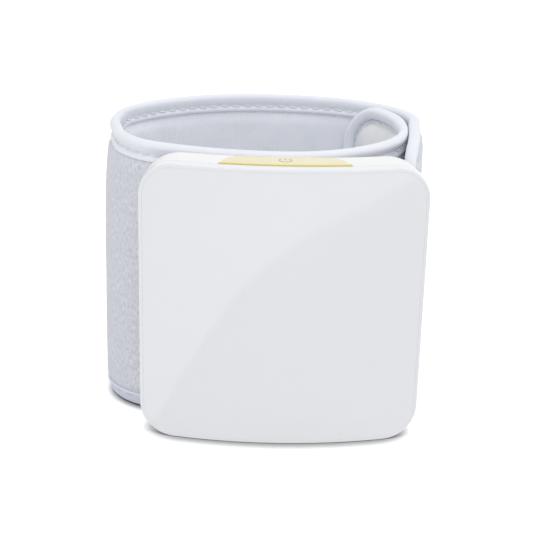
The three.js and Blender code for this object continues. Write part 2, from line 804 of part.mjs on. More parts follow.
function rearCase() {
  const lipOutside = sideWall + fitGap;
  const lipInside = lipOutside + lipThickness;
  const lipBack = partingDepth + lipLedge;
  const lipHollow = bowed(partingDepth - lipHeight - overrun, lipBack + overrun, lipInside);
  const lip = bowed(partingDepth - lipHeight, lipBack, lipOutside);
  const ledge = bowed(partingDepth, lipBack, sideWall / 2);
  const carrier = bowed(0, caseDepth - embed, sideWall / 2);
  const behind = depthY(caseDepth + frontRadius);
  let body = bowed(partingDepth, caseDepth, 0).subtract(bowed(partingDepth - overrun, insideBack, sideWall));
  body = body.add(lip.add(ledge).subtract(lipHollow)).subtract(chargeBoardRoom());

  const apertureFront = partingDepth - lipHeight - overrun;
  const apertureShape = buttonShape(apertureFront, buttonBackDepth + fitGap, fitGap);
  const apertureBottom = caseHeight - sideWall - lipThickness - 2 * overrun;
  const flangeRoom = buttonShape(apertureFront, insideBack - fitGap, buttonFlange + fitGap);
  const flangeRoomTop = caseHeight - sideWall;
  body = body.subtract(prism(apertureShape, apertureBottom, caseHeight + overrun, cornerDivisions));
  body = body.subtract(prism(flangeRoom, apertureBottom, flangeRoomTop, cornerDivisions));

  for (const { x, z } of postPlaces) {
    body = body.add(rodY(postRadius, x, z, postSplitY + fitGap / 2, behind).intersect(carrier));
    body = body.subtract(rodY(screwRadius + fitGap, x, z, postSplitY - overrun, caseSeatY + overrun));
    body = body.subtract(rodY(screwHeadRadius + fitGap, x, z, caseSeatY, behind));
  }
  for (const { x, z } of boardPlaces) {
    const start = boardBackY + seatGap;
    body = body.add(rodY(boardPostRadius, x, z, start, behind).intersect(carrier));
    body = body.subtract(rodY(smallScrewRadius + fitGap, x, z, start - overrun, start + smallScrewBite));
  }
  for (const { x, z } of chargePlaces) {
    const start = chargeBackY + seatGap;
    body = body.add(rodY(chargePostRadius, x, z, start, behind).intersect(carrier));
    body = body.subtract(rodY(smallScrewRadius + fitGap / 2, x, z, start - overrun, start + smallScrewBite));
  }
  for (const share of cellRibShares) {
    const left = cellLeft + cellWidth * share - ribThickness / 2;
    const right = left + ribThickness;
    const rib = block(left, right, cellBackY + fitGap, behind, cellBottom + ribInset, cellTop - ribInset);
    body = body.add(rib.intersect(carrier));
  }
  const cradles = [pumpBase, headBottom, manifoldBottom, valveBottom];
  for (const bottom of cradles) {
    const low = bottom + cradleInset - cradleThickness / 2;
    const rib = block(pumpLeft, pumpRight, pumpBackY + fitGap, behind, low, low + cradleThickness);
    body = body.add(rib.intersect(carrier));
  }
  const footTop = pumpBase - fitGap;
  const footLeft = pumpX - footWidth / 2;
  const foot = block(footLeft, footLeft + footWidth, pumpY, behind, footTop - footThickness, footTop);
  body = body.add(foot.intersect(carrier));

  for (const { x, z } of cuffScrewPlaces) {
    body = body.subtract(rodY(screwRadius + fitGap, x, z, cuffSeatY - overrun, behind));
    body = body.subtract(rodY(screwHeadRadius + fitGap, x, z, cuffSeatY - overrun, cuffSeatY));
  }
  body = body.subtract(rodY(inletRadius + fitGap, inletX, inletZ, depthY(insideBack) - overrun, behind));
  const slot = socketBlock(caseWidth / 2 - sideWall - overrun, caseWidth / 2 + overrun, fitGap);
  return body.subtract(slot);
}

addPart("rear_case", rearCase(), satinWhite);

postPlaces.forEach(({ x, z }, i) => {
  const bite = caseSeatY - caseTipY;
  const screw = screwY(x, z, caseSeatY, -1, bite, screwRadius, screwHeadRadius, screwHeadHeight);
  addPart(`case_screw_${i + 1}`, screw, steel);
});

// Switch under the button

function switchBody() {
  const half = switchWidth / 2;
  const back = switchFrontY + switchThickness;
  const boreBottom = plungerTop - plungerLength - buttonTravel - fitGap;
  const bore = rodZ(plungerRadius + fitGap, 0, switchY, boreBottom, switchTop + overrun);
  return block(-half, half, switchFrontY, back, switchBottom, switchTop).subtract(bore);
}

function switchPlunger() {
  return rodZ(plungerRadius, 0, switchY, plungerTop - plungerLength, plungerTop);
}

addPart("switch_body", switchBody(), blackPlastic);
addPart("switch_plunger", switchPlunger(), paleRubber);

// Main board and what is on it

function mainBoard() {
  const notchRight = inletX + inletRadius + fitGap;
  const notchBottom = inletZ - inletRadius - 2 * fitGap;
  const notchTop = sensorPortZ + sideNippleRadius + tubeWall + 2 * fitGap;
  const notchFront = boardFrontY - overrun;
  const notchBack = boardBackY + overrun;
  const notch = block(boardLeft - overrun, notchRight, notchFront, notchBack, notchBottom, notchTop);
  let board = block(boardLeft, boardRight, boardFrontY, boardBackY, boardBottom, boardTop).subtract(notch);
  for (const { x, z } of boardPlaces) {
    board = board.subtract(rodY(smallScrewRadius + fitGap, x, z, notchFront, notchBack));
  }
  for (const { x, z } of postPlaces) {
    board = board.subtract(rodY(postRadius + fitGap, x, z, notchFront, notchBack));
  }
  return board;
}

function onBoardFront(left, bottom, width, height, thickness) {
  const back = boardFrontY - seatGap;
  return block(left, left + width, back - thickness, back, bottom, bottom + height);
}

const chipBottom = boardBottom + chipRise;
const radioBottom = boardTop - radioDrop - radioHeight;
const chip = onBoardFront(chipLeft, chipBottom, chipSize, chipSize, chipThickness);
const radio = onBoardFront(radioLeft, radioBottom, radioWidth, radioHeight, radioThickness);

addPart("main_board", mainBoard(), boardGreen);
addPart("controller_chip", chip, blackPlastic);
addPart("radio_module", radio, foil);
boardPlaces.forEach(({ x, z }, i) => {
  const bite = boardThickness + smallScrewBite;
  const screw = screwY(x, z, boardFrontY, 1, bite, smallScrewRadius, smallHeadRadius, smallHeadHeight);
  addPart(`board_screw_${i + 1}`, screw, steel);
});

function pressureSensor() {
  const front = boardBackY + seatGap;
  const half = sensorSize / 2;
  const right = sensorLeft + sensorSize;
  const back = front + sensorThickness;
  const portLeft = sensorLeft - sensorNippleLength;
  const body = block(sensorLeft, right, front, back, sensorPortZ - half, sensorPortZ + half);
  const port = rodX(sideNippleRadius, pumpY, sensorPortZ, portLeft, sensorLeft + embed);
  return body.add(port).subtract(rodX(airBore, pumpY, sensorPortZ, sensorLeft - half, sensorLeft + half));
}

addPart("pressure_sensor", pressureSensor(), clearPlastic);

// Cell

const padBackY = boardBackY + seatGap + padThickness;
const padFrontY = padBackY - padThickness;
const padLeft = cellLeft + padMargin;
const padRight = cellRight - padMargin;
addPart("cell", block(cellLeft, cellRight, cellFrontY, cellBackY, cellBottom, cellTop), foil);
addPart(
  "cell_pad",
  block(padLeft, padRight, padFrontY, padBackY, cellBottom + padMargin, cellTop - padMargin),
  blackPlastic,
);

// Charge board and its socket

function chargeBoard() {
  const top = chargeBoardBottom + chargeBoardHeight;
  let board = block(chargeLeft, chargeRight, chargeFrontY, chargeBackY, chargeBoardBottom, top);
  for (const { x, z } of chargePlaces) {
    const hole = rodY(smallScrewRadius + fitGap, x, z, chargeFrontY - overrun, chargeBackY + overrun);
    board = board.subtract(hole);
  }
  return board;
}

function socketShell() {
  const mouth = socketBlock(socketLeft + 2 * socketWall, socketRight + overrun, -socketWall);
  return socketBlock(socketLeft, socketRight, 0).subtract(mouth);
}

function socketTongue() {
  const left = socketLeft + 2 * socketWall + seatGap;
  const halfY = tongueThickness / 2;
  const halfZ = tongueWidth / 2;
  return block(left, left + tongueLength, socketY - halfY, socketY + halfY, socketZ - halfZ, socketZ + halfZ);
}

addPart("charge_board", chargeBoard(), boardGreen);
addPart("usb_socket", socketShell(), steel);
addPart("usb_tongue", socketTongue(), blackPlastic);
chargePlaces.forEach(({ x, z }, i) => {
  const bite = chargeBoardThickness + smallScrewBite - fitGap;
  const radius = smallScrewRadius - fitGap / 2;
  const screw = screwY(x, z, chargeFrontY, 1, bite, radius, smallHeadRadius, smallHeadHeight);
  addPart(`charge_screw_${i + 1}`, screw, steel);
});

// Pump, from the motor up to the valve

function stadiumShape(width, thickness) {
  const radius = thickness / 2;
  const reach = width / 2 - radius;
  const shape = new THREE.Shape();
  shape.absarc(pumpX + reach, pumpY, radius, -Math.PI / 2, Math.PI / 2, false);
  shape.absarc(pumpX - reach, pumpY, radius, Math.PI / 2, Math.PI * 1.5, false);
  return shape;
}

const shaftBottom = pumpBase + shaftFloor;
const crankBottom = headBottom + fitGap + seatGap;
const crankTop = crankBottom + crankHeight;
const diaphragmBottom = crankTop + fitGap;
const chamberRadius = crankRadius + crankOffset + 2 * seatGap;
const chamberTop = diaphragmBottom + diaphragmThickness + fitGap;

function pumpMotor() {
  const can = prism(stadiumShape(pumpWidth, pumpThickness), pumpBase, motorTop, cornerDivisions);
  const bore = rodZ(shaftRadius + seatGap, pumpX, pumpY, shaftBottom - fitGap, motorTop + overrun);
  return can.subtract(bore);
}

function pumpRotor() {
  const shaft = rodZ(shaftRadius, pumpX, pumpY, shaftBottom, crankTop);
  const crank = rodZ(crankRadius, pumpX + crankOffset, pumpY, crankBottom, crankTop);
  return shaft.add(crank);
}

function pumpHead() {
  const body = block(pumpLeft, pumpRight, pumpFrontY, pumpBackY, headBottom, headTop);
  const chamber = rodZ(chamberRadius, pumpX, pumpY, headBottom - overrun, chamberTop);
  const nipple = rodZ(nippleRadius, pumpX, pumpY, headTop - embed, headTop + nippleLength);
  const bore = rodZ(airBore, pumpX, pumpY, chamberTop - embed, headTop + nippleLength + overrun);
  return body.add(nipple).subtract(chamber).subtract(bore);
}

addPart("pump_motor", pumpMotor(), steel);
addPart("pump_rotor", pumpRotor(), brass);
addPart("pump_head", pumpHead(), blackPlastic);
addPart(
  "pump_diaphragm",
  rodZ(chamberRadius - fitGap, pumpX, pumpY, diaphragmBottom, diaphragmBottom + diaphragmThickness),
  paleRubber,
);

function airManifold() {
  const nippleEnd = pumpRight + sideNippleLength;
  let body = block(pumpLeft, pumpRight, pumpFrontY, pumpBackY, manifoldBottom, manifoldTop);
  body = body.add(rodZ(nippleRadius, pumpX, pumpY, manifoldBottom - nippleLength, manifoldBottom + embed));
  for (const z of [cuffPortZ, sensorPortZ]) {
    body = body.add(rodX(sideNippleRadius, pumpY, z, pumpRight - embed, nippleEnd));
    body = body.subtract(rodX(airBore, pumpY, z, pumpX, nippleEnd + overrun));
  }
  const riser = rodZ(airBore, pumpX, pumpY, manifoldBottom - nippleLength - overrun, manifoldTop + overrun);
  return body.subtract(riser);
}

function valveBody() {
  const body = block(pumpLeft, pumpRight, pumpFrontY, pumpBackY, valveBottom, valveTop);
  const boreTop = valveBottom + armatureLength + armatureLift + armatureSpringRoom;
  return body.subtract(rodZ(armatureRadius + fitGap, pumpX, pumpY, valveBottom - overrun, boreTop));
}

addPart("air_manifold", airManifold(), clearPlastic);
addPart("valve_body", valveBody(), blackPlastic);
addPart(
  "valve_armature",
  rodZ(armatureRadius, pumpX, pumpY, valveBottom, valveBottom + armatureLength),
  steel,
);

// Air lines

function tubeX(radius, z, x0, x1) {
  const outside = rodX(radius + fitGap + tubeWall, pumpY, z, x0, x1);
  return outside.subtract(rodX(radius + fitGap, pumpY, z, x0 - overrun, x1 + overrun));
}

function tubeZ(radius, z0, z1) {
  const outside = rodZ(radius + fitGap + tubeWall, pumpX, pumpY, z0, z1);
  return outside.subtract(rodZ(radius + fitGap, pumpX, pumpY, z0 - overrun, z1 + overrun));
}

const inletStemLeft = inletX - inletRadius;
const barbLeft = inletStemLeft - sideNippleLength;

function airInlet() {
  const bladderY = cuffPoint(-inletX, inletZ, fillOuter(-inletX)).y;
  const stem = rodY(inletRadius, inletX, inletZ, pumpY - inletRadius, bladderY - fitGap);
  const barb = rodX(sideNippleRadius, pumpY, inletZ, barbLeft, inletX);
  const stemBore = rodY(airBore, inletX, inletZ, pumpY, bladderY + overrun);
  const barbBore = rodX(airBore, pumpY, inletZ, barbLeft - overrun, inletX);
  return stem.add(barb).subtract(stemBore).subtract(barbBore);
}

function inletSeal() {
  const ring = new THREE.TorusGeometry(inletRadius + fitGap + sealRadius, sealRadius, ringSides, roundSides);
  ring.rotateX(Math.PI / 2);
  ring.translate(inletX, depthY(insideBack) - sealRadius - fitGap / 2, inletZ);
  return solid(ring);
}

const sideTubeLeft = pumpRight + fitGap;
const cuffTube = tubeX(sideNippleRadius, cuffPortZ, sideTubeLeft, inletStemLeft - fitGap);
addPart("pump_tube", tubeZ(nippleRadius, headTop + fitGap, manifoldBottom - fitGap), paleRubber);
addPart("sensor_tube", tubeX(sideNippleRadius, sensorPortZ, sideTubeLeft, sensorLeft - fitGap), paleRubber);
addPart("cuff_tube", cuffTube, paleRubber);
addPart("air_inlet", airInlet(), clearPlastic);
addPart("inlet_seal", inletSeal(), blackPlastic);

// Cuff, the part that stays with the case: front, left side and short end

const splitHalf = fitGap / 2;
const fixedSplit = strapHinge - splitHalf;
const fixedAlong = fabricStations(fixedSplit, shortEnd);

function fixedOuterFabric() {
  let fabric = outerFabric(fixedAlong, shortEnd);
  for (const { x, z } of cuffScrewPlaces) {
    fabric = fabric.subtract(rodY(cuffBossRadius + fitGap, x, z, cuffBossY - overrun, cuffStartY + overrun));
  }
  return fabric.subtract(rodY(inletRadius + fitGap, inletX, inletZ, caseDepth / 2, cuffStartY));
}

function fixedStiffener() {
  const along = stationsBetween(fixedSplit, shortEnd + stiffenerInset);
  const bossAlong = stationsBetween(-2 * cuffScrewX, 2 * cuffScrewX);
  const reach = () => stiffenerOuter(0) - 3 * outerCrown;
  const bossBack = (s) => stiffenerInner(s) - stiffenerThickness / 2;
  const bossRegion = layer(bossAlong, insetRows(0), reach, bossBack);
  let body = layer(along, insetRows(stiffenerInset), stiffenerOuter, stiffenerInner);
  for (const { x, z } of cuffScrewPlaces) {
    const boss = rodY(cuffBossRadius, x, z, cuffBossY, cuffStartY + 2 * cuffBossRadius);
    const pilot = rodY(screwRadius + fitGap, x, z, cuffBossY - overrun, cuffTipY + seatGap);
    body = body.add(boss.intersect(bossRegion)).subtract(pilot);
  }
  return body.subtract(rodY(inletRadius + fitGap, inletX, inletZ, caseDepth / 2, cuffStartY + overrun));
}

const bladderAlong = stationsBetween(strapHinge - bladderInset / 2, shortEnd + bladderInset);
addPart("cuff_outer_fabric", fixedOuterFabric(), greyFabric);
addPart("cuff_stiffener", fixedStiffener(), clearPlastic);
addPart("cuff_bladder", layer(bladderAlong, insetRows(bladderInset), fillOuter, fillInner), paleRubber);
addPart("cuff_lining", lining(fixedAlong, shortEnd), greyLining);
addPart("cuff_binding", binding(edgeRound(fixedSplit, shortEnd)), paleBinding);

cuffScrewPlaces.forEach(({ x, z }, i) => {
  const bite = cuffTipY - cuffSeatY;
  const screw = screwY(x, z, cuffSeatY, 1, bite, screwRadius, screwHeadRadius, lowHeadHeight);
  addPart(`cuff_screw_${i + 1}`, screw, steel);
});

// Cuff, the strap that springs open: the back of the loop

const strapStart = strapHinge + splitHalf;
const strapEnd = tipHinge - splitHalf;
const strapAlong = stationsBetween(strapStart, strapEnd);
const strapFillAlong = stationsBetween(strapStart, strapEnd - bladderInset);
addPart("strap_outer_fabric", outerFabric(strapAlong, longEnd), greyFabric);
addPart(
  "strap_stiffener",
  layer(strapFillAlong, insetRows(stiffenerInset), stiffenerOuter, stiffenerInner),
  clearPlastic,
);
addPart("strap_padding", layer(strapFillAlong, insetRows(bladderInset), fillOuter, fillInner), paleRubber);
addPart("strap_lining", lining(strapAlong, longEnd), greyLining);
addPart("strap_binding_top", binding(straightEdge(strapAlong, cuffHeight, -1)), paleBinding);
addPart("strap_binding_bottom", binding(straightEdge(strapAlong, 0, 1)), paleBinding);

// Cuff, the loose end that peels off the short end

const tipStart = tipHinge + splitHalf;
const tipAlong = fabricStations(tipStart, longEnd);
const patchInset = bindingWidth + patchMargin;
const patchEnd = longEnd - patchInset;
const patchFace = (s) => sewnHalf + liningCrownAt(s) + fitGap;
const patchAlong = stationsBetween(patchEnd - patchLength, patchEnd);
addPart("tip_outer_fabric", outerFabric(tipAlong, longEnd), greyFabric);
addPart("tip_lining", lining(tipAlong, longEnd), greyLining);
addPart("tip_binding", binding(edgeRound(tipStart, longEnd)), paleBinding);
addPart(
  "hook_patch",
  layer(patchAlong, insetRows(patchInset), patchFace, (s) => patchFace(s) + patchThickness),
  paleBinding,
);

export default monitor;
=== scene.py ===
import bpy
import bmesh
import json
from math import ceil, cos, hypot, pi, radians, sin, sqrt
from mathutils import Matrix, Vector, noise


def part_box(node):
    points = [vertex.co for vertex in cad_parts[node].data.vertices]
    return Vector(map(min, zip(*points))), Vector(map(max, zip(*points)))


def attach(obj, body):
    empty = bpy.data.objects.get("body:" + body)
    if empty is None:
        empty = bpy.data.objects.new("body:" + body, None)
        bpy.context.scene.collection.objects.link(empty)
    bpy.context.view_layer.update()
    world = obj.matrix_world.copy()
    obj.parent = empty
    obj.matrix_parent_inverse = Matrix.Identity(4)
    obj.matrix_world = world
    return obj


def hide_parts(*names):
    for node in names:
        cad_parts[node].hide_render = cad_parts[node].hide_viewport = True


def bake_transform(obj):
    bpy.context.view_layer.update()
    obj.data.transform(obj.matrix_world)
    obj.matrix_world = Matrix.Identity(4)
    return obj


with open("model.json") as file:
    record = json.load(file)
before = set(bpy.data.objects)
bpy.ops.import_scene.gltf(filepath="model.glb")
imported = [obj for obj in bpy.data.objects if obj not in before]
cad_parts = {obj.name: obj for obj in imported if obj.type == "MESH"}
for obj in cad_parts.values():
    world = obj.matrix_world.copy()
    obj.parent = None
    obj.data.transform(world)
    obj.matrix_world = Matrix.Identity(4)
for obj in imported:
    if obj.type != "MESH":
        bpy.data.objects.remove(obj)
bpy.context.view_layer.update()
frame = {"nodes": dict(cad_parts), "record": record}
scene = bpy.context.scene
mm = 0.001  # every shape below is in millimetres in the frame of the part's own source
slotOf = {part["node"]: part["material_slot"] for part in frame["record"]["subparts"]}

camera = {
    "place": (-9.97, -304.58, 153.94),
    "pitch": 19.633,  # degrees down from level
    "yaw": 1.285,  # degrees to the right
    "roll": 1.46,
    "lens": 85.9,  # on a 36 mm square sensor
}

eye = bpy.data.objects.new("camera", bpy.data.cameras.new("camera"))
scene.collection.objects.link(eye)
eye.data.lens = camera["lens"]
eye.data.sensor_width = 36
eye.data.sensor_fit = "HORIZONTAL"
eye.data.clip_start = 0.01
eye.matrix_world = (
    Matrix.Translation(Vector(camera["place"]) * mm)
    @ Matrix.Rotation(radians(-camera["yaw"]), 4, "Z")
    @ Matrix.Rotation(radians(90 - camera["pitch"]), 4, "X")
    @ Matrix.Rotation(radians(camera["roll"]), 4, "Z")
)
bpy.context.scene.camera = eye
print("camera set")


def linear(hexColour):
    values = [int(hexColour[i:i + 2], 16) / 255 for i in (0, 2, 4)]
    return [v / 12.92 if v <= 0.04045 else ((v + 0.055) / 1.055) ** 2.4 for v in values] + [1]


# An input is a value, a socket, or a node whose first output is meant
def addNode(tree, kind, inputs=None, **settings):
    node = tree.nodes.new("ShaderNode" + kind)
    for key, value in settings.items():
        setattr(node, key, value)
    for key, value in (inputs or {}).items():
        if isinstance(value, bpy.types.Node):
            value = value.outputs[0]
        if isinstance(value, bpy.types.NodeSocket):
            tree.links.new(value, node.inputs[key])
        else:
            node.inputs[key].default_value = value
    return node


recipe = {
    "roughGrain": 0.6,  # how strong the finer parts of the grain are
    "grain": (0.3, 0.7),  # heights of the grain between which its colour comes, and then its roughness
    "gloss": (0.25, 0.75),
    "drift": (0.35, 0.7),
    "dot": (0.15, 0.45),  # a dot's top and its foot, as shares of the spacing
    "dotShare": 0.75,
    # the button's painted tint follows this
    "side": (0.55, 0.98),  # from a side to the flat top: how far the surface faces up
}


# One recipe for all finishes: a fine grain and a broad drift in colour, a roughness that follows the grain,
# and a bump. Cloth adds threads along its own map. Hooks, foam and glass cloth add dots. The tape has a
# painted shade along its foot, and the button a painted deeper yellow on its sides. The colours are the
# ground, the grain and the drift.
def addFinish(
    slot, name, colours, grain, drift, roughness, bump, ior=1.5, shader={}, driftShare=0.4, detail=3,
    stretch=(1, 1, 1), cloth=False, threads=None, wander=0, threadShare=0, dots=None, scatter=0, foot=None,
    sides=None,
):
    material = bpy.data.materials.new(name)
    material.use_nodes = True
    tree = material.node_tree
    surface = tree.nodes["Principled BSDF"]
    maps = addNode(tree, "TexCoord").outputs
    place = maps["UV" if cloth else "Object"]
    spread = addNode(tree, "Mapping", {"Vector": place, "Scale": stretch})
    height = addNode(tree, "TexNoise", {
        "Vector": spread, "Scale": 1 / (grain * mm), "Detail": detail, "Roughness": recipe["roughGrain"],
    })
    if threads:
        bands = [
            addNode(tree, "TexWave", {
                "Vector": place, "Scale": pi / 10 / (pitch * mm),
                "Distortion": wander, "Detail Scale": 2,
            }, bands_direction=direction).outputs["Fac"]
            for direction, pitch in zip("XY", threads)
        ]
        weave = addNode(tree, "Math", {0: bands[0], 1: bands[1]}, operation="MULTIPLY")
        height = addNode(tree, "Mix", {0: threadShare, 2: height, 3: weave})
    if dots:
        cells = addNode(tree, "TexVoronoi", {
            "Vector": place, "Scale": 1 / (dots * mm), "Randomness": scatter,
        })
        top, base = recipe["dot"]
        raised = addNode(tree, "MapRange", {0: cells.outputs["Distance"], 1: top, 2: base, 3: 1, 4: 0})
        height = addNode(tree, "Mix", {0: recipe["dotShare"], 2: height, 3: raised})
    broad = addNode(tree, "TexNoise", {"Vector": place, "Scale": 1 / (drift * mm), "Detail": 2})
    ground, grainColour, driftColour = colours.split()
    # what each tint follows, from where to where, its share at both ends, and its colour
    tints = [
        (height, *recipe["grain"], 0, 1, grainColour), (broad, *recipe["drift"], 0, driftShare, driftColour),
    ]
    # painted shade: the tape turns greyer and bluer towards its foot, by height above the floor
    if foot:
        low, high, footShadeColour = foot
        above = addNode(tree, "SeparateXYZ", {0: maps["Object"]}).outputs[2]
        tints.append((above, low * mm, high * mm, 1, 0, footShadeColour))
    # painted light: faces that look up stay pale and the sides turn deeper yellow, standing in for light
    # through the tinted plastic
    if sides:
        normal = addNode(tree, "NewGeometry").outputs["Normal"]
        upward = addNode(tree, "SeparateXYZ", {0: normal}).outputs[2]
        tints.append((upward, *recipe["side"], 1, 0, sides))
    colour = linear(ground)
    for follows, start, end, startShare, endShare, tint in tints:
        share = addNode(tree, "MapRange", {0: follows, 1: start, 2: end, 3: startShare, 4: endShare})
        colour = addNode(tree, "Mix", {0: share, 6: colour, 7: linear(tint)}, data_type="RGBA").outputs[2]
    tree.links.new(colour, surface.inputs["Base Color"])
    rough = addNode(tree, "MapRange", dict(enumerate([height, *recipe["gloss"], *roughness])))
    tree.links.new(rough.outputs[0], surface.inputs["Roughness"])
    relief = addNode(tree, "Bump", {"Height": height, "Distance": bump * mm})
    tree.links.new(relief.outputs[0], surface.inputs["Normal"])
    for socket, value in {"IOR": ior, **shader}.items():
        surface.inputs[socket].default_value = value
    finishes[slot] = material


finishes = {}
glossWhite = dict(colours="eff0f4 edeff3 ebedf2", driftShare=0.5, grain=6, drift=45, bump=0.001)
knit = dict(
    cloth=True, driftShare=0.6, grain=0.5, detail=4, drift=6,
    threads=(0.9, 0.7), wander=1.2, roughness=(0.8, 0.92),
)
softCloth = {"Sheen Weight": 0.25, "Sheen Roughness": 0.5, "Specular IOR Level": 0.2}

# Clear coated acrylic, cast smooth: a clean mirror over white, with only the faintest ripple
addFinish(
    "gloss_front", "coated white acrylic", **glossWhite, roughness=(0.07, 0.1), ior=1.49,
    shader={"Coat Weight": 0.6, "Coat Roughness": 0.04, "Coat IOR": 1.49},
)
# ABS moulded against fine spark eroded steel: satin white, soft highlights on its edges
addFinish(
    "white_case", "moulded white ABS", colours="f7f7f8 f4f4f6 f3f4f5", grain=0.5, drift=30,
    roughness=(0.3, 0.4), bump=0.006, ior=1.53,
)
# The same ABS against polished steel, so that the cover runs on into the clear front without a break
addFinish(
    "cover", "polished white ABS", **glossWhite, roughness=(0.08, 0.12), ior=1.53,
    shader={"Coat Weight": 0.4, "Coat Roughness": 0.05},
)
# Tinted polycarbonate: pale cream on its flat top, where the light goes in, and a painted deeper yellow
# at its edges, laid on by how far each face looks up, standing in for light through the plastic
addFinish(
    "yellow_button", "moulded cream polycarbonate", colours="efe7c4 ece3bd f2ebcd", driftShare=0.5,
    sides="ece091", grain=0.5, drift=9, roughness=(0.3, 0.38), bump=0.004, ior=1.58,
    shader={"Subsurface Weight": 0.15, "Subsurface Radius": (0.002, 0.0016, 0.0006), "Subsurface Scale": 0.4},
)
# Pad printed ink, thin and matt
addFinish(
    "ink", "pad printed ink", colours="cdbfae c8b9a8 d3c5b2", grain=0.12, drift=1.5, roughness=(0.5, 0.6),
    bump=0.003,
)
# Brushed nylon loop pile: short fibres lean up and down and give a fuzzy grain with a soft sheen.
# The fibres are 0.05 mm, drawn as strokes of 0.6 by 1.4 mm so that they show.
addFinish(
    "outer_fabric", "brushed nylon loop fabric", cloth=True, colours="c8cad5 eff1f8 d9dbe5", driftShare=0.5,
    grain=0.6, stretch=(1, 0.42, 1), detail=5, drift=5, roughness=(0.8, 0.95), bump=0.3,
    shader={**softCloth, "Sheen Weight": 0.35},
)
# Knitted polyester: a flat face of fine loops 0.5 mm apart, drawn 0.9 mm apart, faintly mottled
addFinish(
    "lining_fabric", "knitted polyester lining", **knit, colours="f4f6fc f9fbff ecf0f8", threadShare=0.45,
    bump=0.08, shader=softCloth,
)
# Warp knitted nylon over the air bag at the short end: a little warmer than the lining, brushed smooth
addFinish(
    "bag_cover", "warp knitted nylon cover", **knit, colours="eeeff1 f5f6f8 e8e9ec", threadShare=0.4,
    bump=0.06, shader=softCloth,
)
# Woven polyester tape, folded over foam: smooth, with ribs 0.3 mm apart, drawn 0.6 mm apart,
# and a painted shade along the foot, greyer and bluer low down, where the tape turns under towards the table
addFinish(
    "binding_tape", "woven polyester tape", cloth=True, colours="f1f4fb f6f8fe eceff8", driftShare=0.5,
    foot=(2.5, 4.5, "d9dcea"), grain=0.4, drift=8, threads=(0.6, 0.6), wander=0.4, threadShare=0.6,
    roughness=(0.65, 0.8), bump=0.03,
    shader={**softCloth, "Sheen Roughness": 0.4, "Specular IOR Level": 0.25},
)
# Spun polyester thread: a shade darker than the tape, with a twist along it
addFinish(
    "thread", "spun polyester thread", cloth=True, colours="e3e5ee f0f1f6 d9dce8", grain=0.3,
    stretch=(1, 3, 1), drift=3, roughness=(0.55, 0.7), bump=0.05,
    shader={**softCloth, "Sheen Weight": 0.3, "Specular IOR Level": 0.3},
)
# Nylon hook tape: rows of stiff hooks 1.3 mm apart
addFinish(
    "hook_tape", "moulded nylon hook tape", cloth=True, colours="c9ccd6 e6e8ee d4d7df", grain=0.4, drift=6,
    dots=1.3, roughness=(0.45, 0.65), bump=0.3, ior=1.53,
)
# Open cell polyurethane foam: small round cells 0.8 mm across
addFinish(
    "foam", "open cell polyurethane foam", colours="d6d4cb e8e6de dedbd0", grain=0.6, drift=12, dots=0.8,
    scatter=1, roughness=(0.85, 0.95), bump=0.2, ior=1.45,
)
# Calendered silicone rubber: pale, slightly waxy
addFinish(
    "pale_rubber", "calendered silicone rubber", colours="d9d6cc e0ddd4 d2cfc4", driftShare=0.5, grain=0.6,
    drift=10, roughness=(0.5, 0.62), bump=0.01, ior=1.41,
    shader={"Subsurface Weight": 0.1, "Subsurface Radius": (0.002, 0.002, 0.002)},
)
# Clear polycarbonate, moulded: hazy where it is thick
addFinish(
    "clear_plastic", "moulded clear polycarbonate", colours="dfe4e6 e9edee d6dcdf", grain=1.2, drift=12,
    roughness=(0.15, 0.25), bump=0.004, ior=1.58, shader={"Transmission Weight": 0.35},
)
# Glass filled nylon, moulded: matt black with a fine grit
addFinish(
    "black_plastic", "glass filled black nylon", colours="1d1e21 2a2b2f 242529", grain=0.25, drift=8,
    roughness=(0.42, 0.58), bump=0.012, ior=1.53,
)
# Glass epoxy board under green solder mask: the weave of the glass shows as a fine check
addFinish(
    "circuit_board", "solder masked glass epoxy", colours="1d5a3c 2b7650 24684a", driftShare=0.5, grain=0.9,
    drift=7, dots=1.6, scatter=0.35, roughness=(0.25, 0.4), bump=0.02, ior=1.52,
)
# Zinc plated steel, rolled: grey mirror with fine draw lines
addFinish(
    "steel", "zinc plated steel", colours="b7bac0 c9ccd1 a9adb4", grain=0.35, stretch=(1, 0.15, 1), drift=5,
    roughness=(0.24, 0.38), bump=0.004, shader={"Metallic": 1},
)
# Turned brass: warm, with rings left by the tool
addFinish(
    "brass", "turned brass", colours="c6a35a d8b973 b8944c", grain=0.3, stretch=(0.2, 0.2, 1), drift=4,
    roughness=(0.22, 0.36), bump=0.004, shader={"Metallic": 1},
)
# Laminated aluminium foil: silver pouch with soft wrinkles
addFinish(
    "cell_foil", "laminated aluminium foil", colours="c3c6cb d3d6da b6b9bf", driftShare=0.5, grain=3,
    drift=14, roughness=(0.3, 0.42), bump=0.05, shader={"Metallic": 0.9},
)
for nodeName, node in frame["nodes"].items():
    node.data.materials.clear()
    node.data.materials.append(finishes[slotOf[nodeName]])
print("materials made:", len(finishes))


def smoothPiece(piece, sharpAngle):
    shape = bmesh.new()
    shape.from_mesh(piece.data)
    bmesh.ops.recalc_face_normals(shape, faces=shape.faces)
    for face in shape.faces:
        face.smooth = True
    for edge in shape.edges:
        edge.smooth = len(edge.link_faces) == 2 and edge.calc_face_angle(0) < radians(sharpAngle)
    shape.to_mesh(piece.data)
    shape.free()


def addPiece(name, vertices, faces, material, sharpAngle=40, uvs=None):
    mesh = bpy.data.meshes.new(name)
    mesh.from_pydata([(x * mm, y * mm, z * mm) for x, y, z in vertices], [], faces)
    mesh.materials.append(material)
    if uvs:
        layer = mesh.uv_layers.new(name="cloth")
        for loop in mesh.loops:
            u, v = uvs[loop.vertex_index]
            layer.data[loop.index].uv = (u * mm, v * mm)
    piece = bpy.data.objects.new(name, mesh)
    scene.collection.objects.link(piece)
    smoothPiece(piece, sharpAngle)
    return piece


